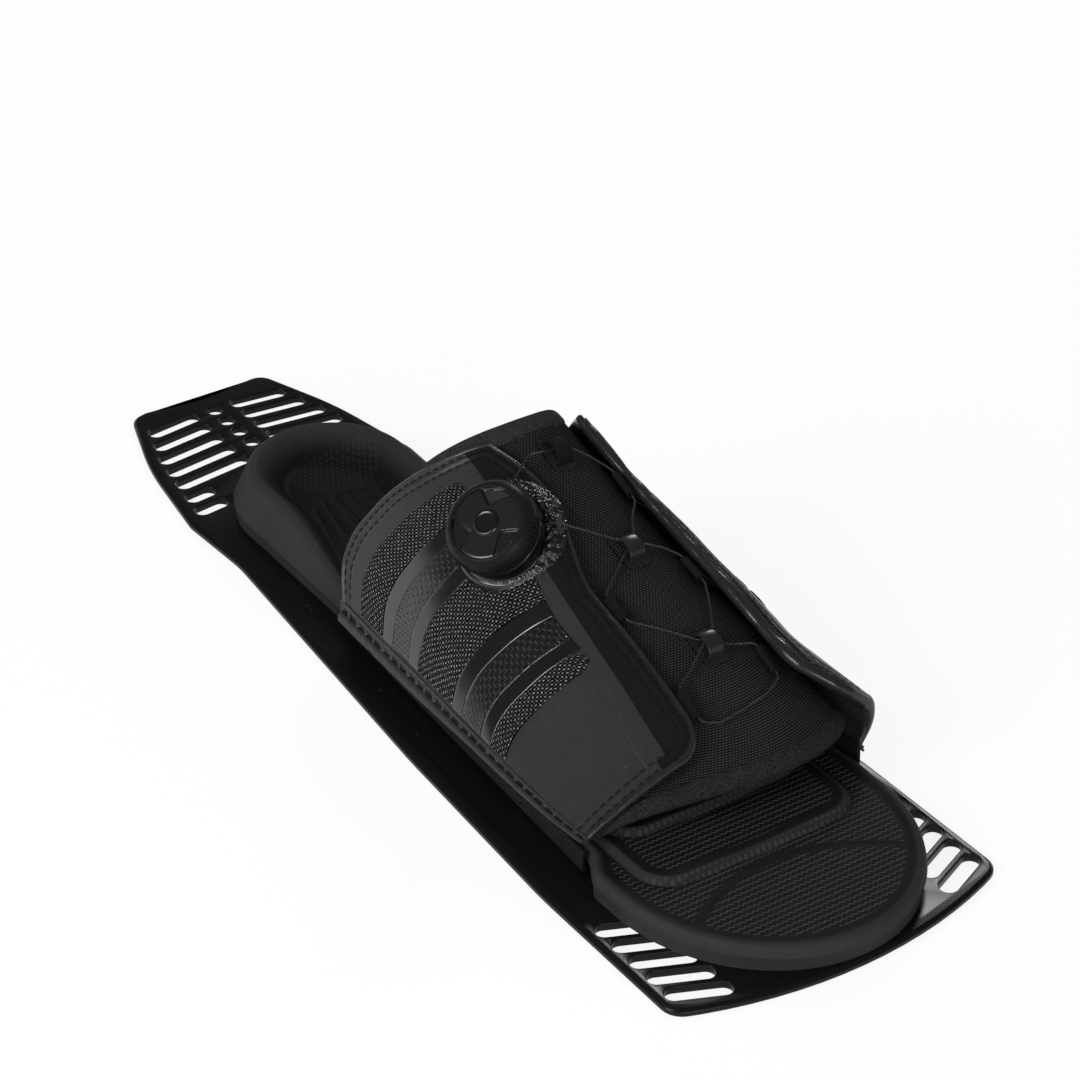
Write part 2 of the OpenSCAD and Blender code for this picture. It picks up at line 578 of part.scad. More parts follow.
// A raised step whose front face slopes to the toe
toe_steps = [[159, 43], [133, 40]];
step_bow = 1.5;
step_corner_r = 13;
step_rear_x = 66;
step_slope = 1.6;
module toe_step(i) {
    x = toe_steps[i][0];
    w = toe_steps[i][1];
    outline = rounded([[step_rear_x, -w, 6], [x, -w, step_corner_r], [x + step_bow, 0, 200],
        [x, w, step_corner_r], [step_rear_x, w, 6]], 4);
    low = floor_z + (i == 0 ? -1 : toe_step_rise - 0.5);
    high = floor_z + toe_step_rise * (i + 1);
    stack([[for (p = outline) [p[0], p[1], low]],
        [for (p = inset(outline, (high - low) * step_slope * 0.7)) [p[0], p[1], high]]]);
}
module footbed() color("#1f1f20") union() {
    footbed_body();
    for (i = [0 : 1]) toe_step(i);
}

// Lace guides
keeper_x = [9.5, 52.4, 97];
keeper_t = 0.515;
right_loop_x = [72, 114];
left_loop_x = [28, 68, 110];
right_loop_t = right_edge_t + 0.02;
left_loop_t = left_edge_t - 0.025;
loop_d = 4.4;
loop_bore_d = lace_d + 0.6;
right_loop_lift = flap_d + loop_d / 2 + 0.6;
left_loop_lift = flap_d + loop_d / 2 + 1.4;
module lace_loop(x, t, lift) {
    along = unit(upper(x + 1, t, lift) - upper(x - 1, t, lift));
    translate(upper(x, t, lift)) rotate([0, acos(along[2]), atan2(along[1], along[0])]) difference() {
        translate([0, 0, -loop_length / 2]) cylinder(d = loop_d, h = loop_length);
        translate([0, 0, -loop_length]) cylinder(d = loop_bore_d, h = 2 * loop_length);
    }
}
module right_loop_rear() color("#262628") lace_loop(right_loop_x[0], right_loop_t, right_loop_lift);
module right_loop_front() color("#262628") lace_loop(right_loop_x[1], right_loop_t, right_loop_lift);
module left_loop_rear() color("#262628") lace_loop(left_loop_x[0], left_loop_t, left_loop_lift);
module left_loop_middle() color("#262628") lace_loop(left_loop_x[1], left_loop_t, left_loop_lift);
module left_loop_front() color("#262628") lace_loop(left_loop_x[2], left_loop_t, left_loop_lift);

keeper_patch = [15, 10, 1];
keeper_tunnel_x = 7.4;
keeper_strap = 1.2;
lace_low = tongue_thickness + layer_gap + keeper_patch[2] + 0.5 + lace_d / 2;
lace_high = lace_low + lace_d + 0.45;
keeper_top = lace_high + lace_d / 2 + 0.3 + keeper_strap;
module keeper(i) on_upper(keeper_x[i], keeper_t, tongue_thickness + layer_gap) difference() {
    height = keeper_top - tongue_thickness - layer_gap;
    union() {
        translate([-keeper_patch[0] / 2, -keeper_patch[1] / 2, 0]) cube(keeper_patch);
        translate([-keeper_tunnel_x / 2 - keeper_strap, -keeper_width / 2, 0])
            cube([keeper_tunnel_x + 2 * keeper_strap, keeper_width, height]);
    }
    translate([-keeper_tunnel_x / 2, -keeper_width, keeper_patch[2]])
        cube([keeper_tunnel_x, 2 * keeper_width, height - keeper_patch[2] - keeper_strap]);
}
module keeper_rear() color("#29292b") keeper(0);
module keeper_middle() color("#29292b") keeper(1);
module keeper_front() color("#29292b") keeper(2);

// Dial: a toothed base on the flap, a spool and a pawl disc on the axle, and a knob that lifts
flange_r = 18.5;
flange_top = 1;
flange_foot = -1.9;
base_r = 16;
base_top = 7.5;
base_floor = -0.5;
spool_r = 10.5;
spool_gap = 0.7;
spool_top = 3.6;
pawl_z = [4.2, 6.8];
pawl_r = 12.4;
ratchet_tip_r = 13;
ratchet_root_r = 14;
exit_z = 1.9;
exit_r = 0.85;
exit_turn = [128, 55];
knob_foot = 7.9;
knob_top = knob_foot + knob_height;
knob_r = knob_d / 2 - 1.4;
cap_r = 6.5;
cap_seat = knob_top - 1.1;
axle_r = axle_d / 2;
bore_r = axle_r + axle_clearance;
axle_top = knob_foot + 3;
peg_r = 1.2;
peg_ring = 5.4;
axle_end_gap = 0.4;
facet_count = 3;
facet_depth = 1.2;

// A point of the dial in polar form about its axis
function dial_point(r, a, z) =
    let (n = dial_axis, b = acos(n[2]), c = atan2(n[1], n[0]),
        ex = [cos(c) * cos(c) * cos(b) + sin(c) * sin(c), sin(c) * cos(c) * (cos(b) - 1), -cos(c) * sin(b)],
        ey = cross(n, ex))
    dial_seat + r * cos(a) * ex + r * sin(a) * ey + z * n;

tooth_undercut = 0.15;
ratchet = [for (i = [0 : ratchet_teeth - 1]) let (a = 360 / ratchet_teeth)
    each [ratchet_tip_r * [cos(a * i), sin(a * i)],
        ratchet_root_r * [cos(a * (i + tooth_undercut)), sin(a * (i + tooth_undercut))]]];
module dial_base() color("#0e0e10") dial_frame() difference() {
    rotate_extrude() polygon([[0, flange_foot], [flange_r, flange_foot], [flange_r, 0],
        [flange_r - 0.8, flange_top], [base_r + 0.6, flange_top + 0.2],
        [base_r, flange_top + 0.9], [base_r, base_top - 0.5],
        [base_r - 0.5, base_top], [0, base_top]]);
    translate([0, 0, base_floor]) cylinder(r = spool_r + spool_gap, h = base_top);
    translate([0, 0, spool_top + 0.3]) linear_extrude(base_top) polygon(ratchet);
    translate([0, 0, flange_foot - through]) cylinder(r = axle_r, h = base_top);
    for (a = exit_turn) rotate([0, 0, a]) translate([spool_r, 0, exit_z]) rotate([0, 90, 0])
        cylinder(r = exit_r, h = flange_r);
}
module dial_axle() color("silver") dial_frame()
    translate([0, 0, flange_foot]) cylinder(r = axle_r, h = axle_top - flange_foot);
module dial_spool() color("#3c3c40") dial_frame() rotate_extrude() polygon([[bore_r, base_floor + 0.2],
    [spool_r, base_floor + 0.2], [spool_r, base_floor + 0.9], [spool_r - 2.6, base_floor + 1.5],
    [spool_r - 2.6, spool_top - 1.2], [spool_r, spool_top - 0.6], [spool_r, spool_top], [bore_r, spool_top]]);
pawl_count = 3;
function arc(r, from, to, n) = [for (k = [0 : n]) let (a = mix(from, to, k / n)) r * [cos(a), sin(a)]];
module dial_pawl_disc() color("#55555a") dial_frame() translate([0, 0, pawl_z[0]])
    linear_extrude(pawl_z[1] - pawl_z[0]) difference() {
        union() {
            circle(r = 8);
            for (i = [0 : pawl_count - 1]) rotate(i * 360 / pawl_count) {
                polygon(concat(arc(pawl_r, 0, 75, 10), arc(pawl_r - 1.5, 75, 0, 10)));
                polygon(concat(arc(pawl_r - 0.5, 0, 14, 3), arc(7, 14, 0, 3)));
            }
        }
        circle(r = bore_r);
        for (i = [0 : pawl_count - 1]) rotate(i * 360 / pawl_count + 60) translate([peg_ring, 0])
            circle(r = peg_r + axle_clearance);
    }
module knob_facet() linear_extrude(knob_height)
    polygon([[cap_r + 1.6, -1], [cap_r + 3.6, -5.4], [knob_r - 1.2, -4.2],
        [knob_r - 2.6, 0.4], [knob_r - 1.2, 5], [cap_r + 3.2, 5.6]]);
module dial_knob() color("#151517") dial_frame() {
    difference() {
        rotate_extrude() polygon([[0, knob_foot], [knob_r, knob_foot], [knob_r, knob_top - 1.9],
            [knob_r - 0.9, knob_top - 0.9], [cap_r + 2.4, knob_top], [cap_r + 0.1, knob_top],
            [cap_r + 0.1, cap_seat], [0, cap_seat]]);
        translate([0, 0, knob_foot - through])
            cylinder(r = bore_r, h = axle_top - knob_foot + through + axle_end_gap);
        for (i = [0 : facet_count - 1]) rotate([0, 0, (i + 0.25) * 360 / facet_count])
            translate([0, 0, knob_top - facet_depth]) knob_facet();
    }
    for (i = [0 : pawl_count - 1]) rotate([0, 0, i * 360 / pawl_count + 60])
        translate([peg_ring, 0, pawl_z[0] + 0.4]) cylinder(r = peg_r, h = knob_foot - pawl_z[0]);
}
grip_z = [knob_foot + 0.3, knob_top - 2.2];
grip_groups = 6;
grip_rib_r = 0.5;
grip_rib_end = 0.4;
module dial_grip() color("#232325") dial_frame() translate([0, 0, grip_z[0]]) {
    difference() {
        cylinder(r = knob_d / 2 - grip_rib_r * 0.8, h = grip_z[1] - grip_z[0]);
        translate([0, 0, -through]) cylinder(r = knob_r + 0.02, h = knob_height + 2 * through);
    }
    for (i = [0 : grip_groups - 1]) for (j = [0 : grip_ribs - 1])
        rotate([0, 0, i * 360 / grip_groups + (j - grip_ribs / 2) * 8])
            translate([knob_d / 2 - grip_rib_r, 0, grip_rib_end])
                cylinder(r = grip_rib_r, h = grip_z[1] - grip_z[0] - 2 * grip_rib_end, $fn = 16);
}
module dial_cap() color("#101012") dial_frame() rotate_extrude() polygon([[0, cap_seat], [cap_r, cap_seat],
    [cap_r, knob_top + 0.2], [cap_r - 0.5, knob_top + 0.5], [cap_r - 1.1, knob_top + 0.5],
    [cap_r - 1.5, knob_top + 0.1], [0, knob_top + 0.1]]);

// Lace: one run from the dial, through the guides and back to the dial
over_edge = flap_out + right_flap_lift + lace_d / 2 + 0.9;
on_tongue = tongue_thickness + lace_d / 2 + 1;
loop_end = loop_length / 2 + 1.2;
function at_keeper(i, lift, from, to) = [for (k = [-1, 0, 1])
    upper(keeper_x[i] + mix(from, to, (k + 1) / 2), keeper_t + k * 0.028, lift)];
function back(list) = [for (i = [len(list) - 1 : -1 : 0]) list[i]];
function through_right(i) = [for (k = [-1, 0, 1])
    upper(right_loop_x[i] + k * loop_end, right_loop_t, right_loop_lift)];
function through_left(i) = [for (k = [-1, 0, 1])
    upper(left_loop_x[i] + k * loop_end, left_loop_t, left_loop_lift)];
lace_route = concat(
    [dial_point(ratchet_tip_r, exit_turn[0], exit_z), dial_point(flange_r + 1, exit_turn[0], exit_z),
        upper(11, 0.43, over_edge)],
    at_keeper(0, lace_low, 0, 0), [upper(14, 0.59, on_tongue + 1)],
    through_left(0), [upper(42, 0.58, on_tongue + 1)],
    back(at_keeper(1, lace_low, 2.4, -2.4)), [upper(60, 0.43, on_tongue)],
    through_right(0), [upper(85, 0.43, on_tongue)],
    at_keeper(2, lace_low, -2.4, 2.4), [upper(101, 0.58, on_tongue + 0.6)],
    through_left(2), [upper(120, 0.57, on_tongue), upper(124, 0.5, on_tongue), upper(123.5, 0.43, on_tongue)],
    back(through_right(1)), [upper(103.5, 0.43, on_tongue)],
    at_keeper(2, lace_high, 2.4, -2.4), [upper(84, 0.59, lace_high)],
    back(through_left(1)), [upper(57.5, 0.59, lace_high)],
    back(at_keeper(1, lace_high, -2.4, 2.4)),
    [upper(46, 0.44, over_edge), dial_point(flange_r + 1, exit_turn[1], exit_z),
        dial_point(ratchet_tip_r, exit_turn[1], exit_z)]);
module lace() color("#0c0c0d") tube(lace_route, lace_d / 2, 6);

echo(dial_seat = dial_seat, dial_axis = dial_axis);

base_plate();
footbed();
right_clamp_strip();
left_clamp_strip();
plate_screws();
right_skirt();
left_skirt();
right_hem();
left_hem();
tongue();
tongue_front_binding();
tongue_rear_binding();
right_flap();
left_flap();
right_flap_mesh();
left_flap_mesh();
right_flap_stripes();
left_flap_stripes();
right_edge_band();
left_edge_band();
right_loop_rear();
right_loop_front();
left_loop_rear();
left_loop_middle();
left_loop_front();
keeper_rear();
keeper_middle();
keeper_front();
lace();
dial_base();
dial_axle();
dial_spool();
dial_pawl_disc();
dial_knob();
dial_grip();
dial_cap();
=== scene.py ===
"""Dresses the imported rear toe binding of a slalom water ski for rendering."""

from __future__ import annotations

import json
import logging
import math
from dataclasses import dataclass
from enum import Enum
from typing import Callable, Mapping, Optional, Sequence, Union

import bpy
import numpy as np
from mathutils import Matrix, Vector, noise

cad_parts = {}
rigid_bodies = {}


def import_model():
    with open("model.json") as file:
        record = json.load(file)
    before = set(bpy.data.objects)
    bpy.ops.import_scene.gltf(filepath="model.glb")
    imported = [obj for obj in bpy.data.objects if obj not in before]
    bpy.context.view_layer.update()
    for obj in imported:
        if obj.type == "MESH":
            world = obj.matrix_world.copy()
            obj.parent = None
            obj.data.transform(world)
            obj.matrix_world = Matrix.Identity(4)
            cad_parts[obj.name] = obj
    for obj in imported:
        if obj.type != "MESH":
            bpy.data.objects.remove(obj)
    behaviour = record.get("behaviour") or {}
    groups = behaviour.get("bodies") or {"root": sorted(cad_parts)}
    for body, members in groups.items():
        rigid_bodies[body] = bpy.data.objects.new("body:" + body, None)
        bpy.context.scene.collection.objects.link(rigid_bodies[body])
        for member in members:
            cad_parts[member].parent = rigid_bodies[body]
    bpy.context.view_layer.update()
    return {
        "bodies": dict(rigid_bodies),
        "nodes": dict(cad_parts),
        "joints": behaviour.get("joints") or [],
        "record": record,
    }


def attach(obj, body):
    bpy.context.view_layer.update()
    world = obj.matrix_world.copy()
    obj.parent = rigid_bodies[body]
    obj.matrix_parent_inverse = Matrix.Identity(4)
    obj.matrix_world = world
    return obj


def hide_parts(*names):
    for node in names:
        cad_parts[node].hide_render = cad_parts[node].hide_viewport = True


LOG = logging.getLogger("binding")
MM = 0.001
MERGE = 2e-6
ROOT = "binding"
KNOB = "knob"
Array = np.ndarray
Colour = tuple[float, float, float]
Surface = Callable[[Array, Array, Array], Array]
Relief = Callable[[Array, Array], Array]
Piece = bpy.types.Object


def mix(a: Array, b: Array, share: Array) -> Array:
    """The value a share of the way from a to b."""
    return a + (b - a) * share


def ease(share: Array) -> Array:
    """A share from 0 to 1 with soft ends."""
    held = np.clip(share, 0.0, 1.0)
    return held * held * (3.0 - 2.0 * held)


def swell(x: Array, centre: float, reach: float) -> Array:
    """A soft bump of height 1 round a centre."""
    return ease(1.0 - np.abs(x - centre) / reach)


def ridge(distance: Array, width: float) -> Array:
    """A round ridge of height 1 along distance 0."""
    return np.exp(-((distance / width) ** 2))


def rumple(points: Array, scale: float, seed: float = 0.0) -> Array:
    """Smooth noise from -1 to 1 at points in millimetres.

    Args:
        points: Places, one row each.
        scale: Size of one fold in millimetres.
        seed: Offset that gives another pattern.

    Returns:
        One value for each point.
    """
    return np.array([noise.noise(Vector(p / scale) + Vector((seed, 0.0, 0.0))) for p in points])


def lengths(points: Array) -> Array:
    """Length along a line of points, at each of them."""
    return np.concatenate([[0.0], np.cumsum(np.linalg.norm(np.diff(points, axis=0), axis=1))])


def along(at: Array, run: Array, rows: Array) -> Array:
    """Rows of values at lengths along a line.

    Args:
        at: Lengths.
        run: Length at each row.
        rows: Three values for each point of the line.

    Returns:
        Three values for each length.
    """
    return np.stack([np.interp(at, run, rows[:, k]) for k in range(3)], axis=1)


def relax(rows: Array, times: int) -> None:
    """Smooths a line of points in place, with its ends kept."""
    for _ in range(times):
        rows[1:-1] = (rows[:-2] + 2 * rows[1:-1] + rows[2:]) / 4.0


def unit(rows: Array) -> Array:
    """Rows brought to length 1."""
    return rows / np.maximum(np.linalg.norm(rows, axis=-1, keepdims=True), 1e-9)


class Sock:
    """A shader value; Python operators on it add Math nodes."""

    def __init__(self, tree: "Tree", socket: bpy.types.NodeSocket) -> None:
        """Wraps one output socket of a tree."""
        self.tree = tree
        self.socket = socket

    def out(self, name: str) -> "Sock":
        """Another output of the same node."""
        return Sock(self.tree, self.socket.node.outputs[name])

    def __add__(self, other: "Value") -> "Sock":
        """Sum."""
        return self.tree.math("ADD", self, other)

    def __radd__(self, other: "Value") -> "Sock":
        """Sum with a number first."""
        return self.tree.math("ADD", other, self)

    def __sub__(self, other: "Value") -> "Sock":
        """Difference."""
        return self.tree.math("SUBTRACT", self, other)

    def __rsub__(self, other: "Value") -> "Sock":
        """Difference with a number first."""
        return self.tree.math("SUBTRACT", other, self)

    def __mul__(self, other: "Value") -> "Sock":
        """Product."""
        return self.tree.math("MULTIPLY", self, other)

    def __rmul__(self, other: "Value") -> "Sock":
        """Product with a number first."""
        return self.tree.math("MULTIPLY", other, self)

    def __truediv__(self, other: "Value") -> "Sock":
        """Quotient."""
        return self.tree.math("DIVIDE", self, other)

    def __pow__(self, other: "Value") -> "Sock":
        """Power."""
        return self.tree.math("POWER", self, other)

    def __lt__(self, other: "Value") -> "Sock":
        """1 where smaller, else 0."""
        return self.tree.math("LESS_THAN", self, other)

    def floor(self) -> "Sock":
        """Whole part."""
        return self.tree.math("FLOOR", self)

    def arch(self) -> "Sock":
        """Half a sine wave for each whole step of the value."""
        return self.tree.math("ABSOLUTE", self.tree.math("SINE", self * math.pi))

    def odd(self) -> "Sock":
        """1 for an odd whole number, 0 for an even one."""
        return self.tree.math("FLOORED_MODULO", self, 2.0)

    def clamp(self) -> "Sock":
        """Held between 0 and 1."""
        return self.tree.math("MINIMUM", self.tree.math("MAXIMUM", self, 0.0), 1.0)


Value = Union[Sock, float, Sequence[float]]


class Tree:
    """Node tree of a material or of the surround."""

    def __init__(self, owner: Union[bpy.types.Material, bpy.types.World]) -> None:
        """Starts an empty tree.

        Args:
            owner: The material or world that holds it.
        """
        owner.use_nodes = True
        self.owner = owner
        self.nodes = owner.node_tree.nodes
        self.links = owner.node_tree.links
        self.nodes.clear()

    def node(
        self,
        kind: str,
        settings: Optional[Mapping[str, object]] = None,
        inputs: Optional[Mapping[Union[int, str], Value]] = None,
        out: Union[int, str] = 0,
    ) -> Sock:
        """Adds a node.

        Args:
            kind: Node type.
            settings: Attributes of the node, set first.
            inputs: Values or links of its sockets.
            out: The output to hand back.

        Returns:
            That output.
        """
        made = self.nodes.new(kind)
        for key, value in (settings or {}).items():
            setattr(made, key, value)
        for key, value in (inputs or {}).items():
            if isinstance(value, Sock):
                self.links.new(value.socket, made.inputs[key])
            else:
                made.inputs[key].default_value = value
        return Sock(self, made.outputs[out])

    def math(self, operation: str, *values: Value) -> Sock:
        """A Math node on values."""
        return self.node("ShaderNodeMath", {"operation": operation}, dict(enumerate(values)))

    def blend(self, share: Value, a: Value, b: Value) -> Sock:
        """A colour a share of the way from a to b."""
        full = [(*c, 1.0) if isinstance(c, tuple) else c for c in (a, b)]
        return self.node("ShaderNodeMix", {"data_type": "RGBA"}, {0: share, 6: full[0], 7: full[1]}, 2)

    def cloth(self) -> tuple[Sock, Sock]:
        """The two coordinates along the cloth, in metres.

        Returns:
            Lengths across the columns and along the rows.
        """
        uv = self.node("ShaderNodeTexCoord", out="UV")
        parts = self.node("ShaderNodeSeparateXYZ", inputs={0: uv})
        return parts, parts.out("Y")

    def grain(self, scale: float, detail: float = 3.0, stretch: Sequence[float] = (1, 1, 1)) -> Sock:
        """Noise on the object's own coordinates.

        Args:
            scale: Cells for each metre.
            detail: Octaves.
            stretch: Factor of the scale along each axis.

        Returns:
            A value from about 0 to 1.
        """
        place = self.node("ShaderNodeTexCoord", out="Object")
        spot = self.node("ShaderNodeMapping", inputs={"Vector": place, "Scale": stretch})
        return self.node("ShaderNodeTexNoise", inputs={"Vector": spot, "Scale": scale, "Detail": detail})

    def cells(self, scale: float) -> Sock:
        """Distance to the nearest of scattered points, in cells."""
        place = self.node("ShaderNodeTexCoord", out="Object")
        return self.node("ShaderNodeTexVoronoi", inputs={"Vector": place, "Scale": scale}, out="Distance")

    def mark(self, name: str) -> Sock:
        """A value painted on the mesh."""
        return self.node("ShaderNodeAttribute", {"attribute_name": name}, out="Fac")

    def seen(self) -> Sock:
        """1 for a ray that shows the background, 0 for one that only lights."""
        path = self.node("ShaderNodeLightPath", out="Is Camera Ray")
        return (path + path.out("Is Glossy Ray") + path.out("Is Transmission Ray")).clamp()

    def shader(self, colour: Value, roughness: Value, normal: Sock, constants: Mapping[str, float]) -> None:
        """Adds the surface shader and its output.

        Args:
            colour: Base colour.
            roughness: Roughness.
            normal: Normal after the relief.
            constants: Sockets that are the same all over.
        """
        inputs: dict[Union[int, str], Value] = {
            "Base Color": colour, "Roughness": roughness, "Normal": normal}
        inputs.update(constants)
        self.output(self.node("ShaderNodeBsdfPrincipled", inputs=inputs))

    def output(self, shader: Sock, kind: str = "ShaderNodeOutputMaterial") -> None:
        """Links a shader to the output."""
        made = self.nodes.new(kind)
        self.links.new(shader.socket, made.inputs["Surface"])


@dataclass(frozen=True)
class Finish:
    """A surface finish: colours of its hollows and ridges, and its relief."""

    name: str
    low: float
    high: float
    roughness: float
    gloss: float = 0.05
    depth: float = 0.05
    strength: float = 0.4
    spread: float = 0.12
    lint: float = 0.0
    metal: float = 0.0
    tint: Colour = (1.0, 1.0, 1.03)

    def relief(self, tree: Tree) -> Sock:
        """Height of the surface from 0 to 1."""
        return tree.grain(900.0, 4.0)

    def shade(self, tree: Tree, height: Sock) -> Sock:
        """Share of the ridge colour, from the height."""
        return height

    def grey(self, value: float) -> Colour:
        """A grey in the finish's tint."""
        return tuple(value * part for part in self.tint)

    def make(self) -> bpy.types.Material:
        """The finished material.

        Returns:
            The material, under the name of the finish.
        """
        tree = Tree(bpy.data.materials.new(self.name))
        height = self.relief(tree)
        wear_and_edge_highlight = tree.grain(28.0, 5.0)
        share = (self.shade(tree, height) * (0.7 + 0.6 * wear_and_edge_highlight)).clamp()
        colour = tree.blend(share, self.grey(self.low), self.grey(self.high))
        if self.lint:
            speck = (tree.cells(140.0) < 0.03) * (tree.grain(9.0, 2.0) * self.lint)
            colour = tree.blend(speck, colour, (0.4, 0.4, 0.4))
        rough = (self.roughness + self.spread * (wear_and_edge_highlight - 0.5)).clamp()
        normal = tree.node(
            "ShaderNodeBump",
            inputs={"Height": height, "Strength": self.strength, "Distance": self.depth * MM})
        tree.shader(colour, rough, normal, {"Specular IOR Level": self.gloss, "Metallic": self.metal})
        return tree.owner


@dataclass(frozen=True)
class Brushed(Finish):
    """Metal with a grain along X."""

    def relief(self, tree: Tree) -> Sock:
        """Long streaks."""
        return tree.grain(900.0, 3.0, (0.02, 1.0, 1.0))


@dataclass(frozen=True)
class Leather(Finish):
    """Fine pebbled synthetic leather."""

    def relief(self, tree: Tree) -> Sock:
        """Pebbles with softer waves under them."""
        return (0.6 * tree.cells(1500.0) + 0.6 * tree.grain(260.0, 3.0)).clamp()


@dataclass(frozen=True)
class Film(Finish):
    """Smooth film with a slow ripple."""

    def relief(self, tree: Tree) -> Sock:
        """A slow ripple with a trace of grain."""
        return 0.85 * tree.grain(90.0, 2.0) + 0.15 * tree.grain(1500.0, 2.0)


@dataclass(frozen=True)
class Ribs(Finish):
    """Ribbed weave: short floats in rows, each row moved by half a float."""

    along: float = 1.2
    across: float = 1.0

    def relief(self, tree: Tree) -> Sock:
        """Rounded floats.

        Args:
            tree: Tree of the material.

        Returns:
            Height from 0 to 1.
        """
        u, v = tree.cloth()
        row = v / (self.across * MM)
        part = u / (self.along * MM) + 0.5 * row.floor().odd()
        return (part.arch() ** 0.5) * row.arch() * (0.8 + 0.4 * tree.grain(700.0, 2.0))


@dataclass(frozen=True)
class Basket(Finish):
    """Coarse woven mesh of round yarns."""

    pitch: float = 1.1

    def relief(self, tree: Tree) -> Sock:
        """Yarns that pass over and under in turn.

        Args:
            tree: Tree of the material.

        Returns:
            Height from 0 to 1.
        """
        u, v = tree.cloth()
        wander = tree.grain(300.0, 3.0)
        a = u / (self.pitch * MM) + 0.9 * wander
        b = v / (self.pitch * MM) + 0.8 * tree.grain(520.0, 2.0)
        over = (a.floor() + b.floor()).odd()
        first = b.arch() * (0.45 + 0.55 * a.arch())
        second = a.arch() * (0.2 + 0.4 * b.arch())
        return (over * first + (1.0 - over) * second) * (0.3 + 1.3 * tree.grain(1100.0, 2.0))

    def shade(self, tree: Tree, height: Sock) -> Sock:
        """Painted highlights: only the tops of the yarns are painted light, as if they caught the light."""
        return height ** 3.0


@dataclass(frozen=True)
class Embossed(Finish):
    """Film with rows of short pressed dashes."""

    along: float = 3.2
    across: float = 1.9

    def relief(self, tree: Tree) -> Sock:
        """Flat film with dashes pressed in.

        Args:
            tree: Tree of the material.

        Returns:
            Height from 0 to 1.
        """
        u, v = tree.cloth()
        row = v / (self.across * MM) + 0.35 * (u / (self.along * MM))
        dash = u / (self.along * MM) + 0.5 * row.floor().odd()
        pressed = ((dash.arch() - 0.55) * 5.0).clamp() * ((row.arch() - 0.45) * 5.0).clamp()
        return 1.0 - 0.85 * pressed


@dataclass(frozen=True)
class Pile(Finish):
    """Short fuzzy pile or knit."""

    cell: float = 1400.0

    def relief(self, tree: Tree) -> Sock:
        """Tufts."""
        return (tree.grain(self.cell, 5.0) * 1.6 - 0.3).clamp()


@dataclass(frozen=True)
class Braid(Finish):
    """Fine braid or ribbed webbing along the cloth."""

    pitch: float = 0.9

    def relief(self, tree: Tree) -> Sock:
        """Slanted strands in two turns.

        Args:
            tree: Tree of the material.

        Returns:
            Height from 0 to 1.
        """
        u, v = tree.cloth()
        a = (u + v) / (self.pitch * MM)
        b = (u - v) / (self.pitch * MM)
        return 0.5 * a.arch() + 0.5 * b.arch()


@dataclass(frozen=True)
class Tread(Finish):
    """Moulded foam with wave ridges and honeycomb where the mesh is marked for them."""

    pitch: float = 2.4
    wave: float = 2.3
    cell: float = 2.1

    def relief(self, tree: Tree) -> Sock:
        """Fine grain, wave ridges and round cells.

        Args:
            tree: Tree of the material.

        Returns:
            Height from 0 to 1.
        """
        place = tree.node("ShaderNodeTexCoord", out="Object")
        x = tree.node("ShaderNodeSeparateXYZ", inputs={0: place})
        y = x.out("Y")
        bow = (y / (self.wave * MM)).arch()
        row = (x / MM + 0.7 * bow) / self.pitch
        wave = ((row.arch() - 0.88) * 10.0).clamp()
        turns = [tree.math("COSINE", (x * math.cos(a) + y * math.sin(a)) * (2 * math.pi / (self.cell * MM)))
                 for a in (0.0, math.pi / 3.0, 2.0 * math.pi / 3.0)]
        cell = ((turns[0] + turns[1] + turns[2]) * 0.8 + 0.35).clamp()
        fine = tree.grain(1300.0, 4.0)
        return (0.2 * fine + 0.9 * (tree.mark("tread") * wave)) + 0.25 * (tree.mark("comb") * cell)

    def shade(self, tree: Tree, height: Sock) -> Sock:
        """Painted highlights: the wave ridges, the bare rims and the step edges are painted paler, as if lit."""
        return 0.01 + height + 0.38 * tree.mark("rim")


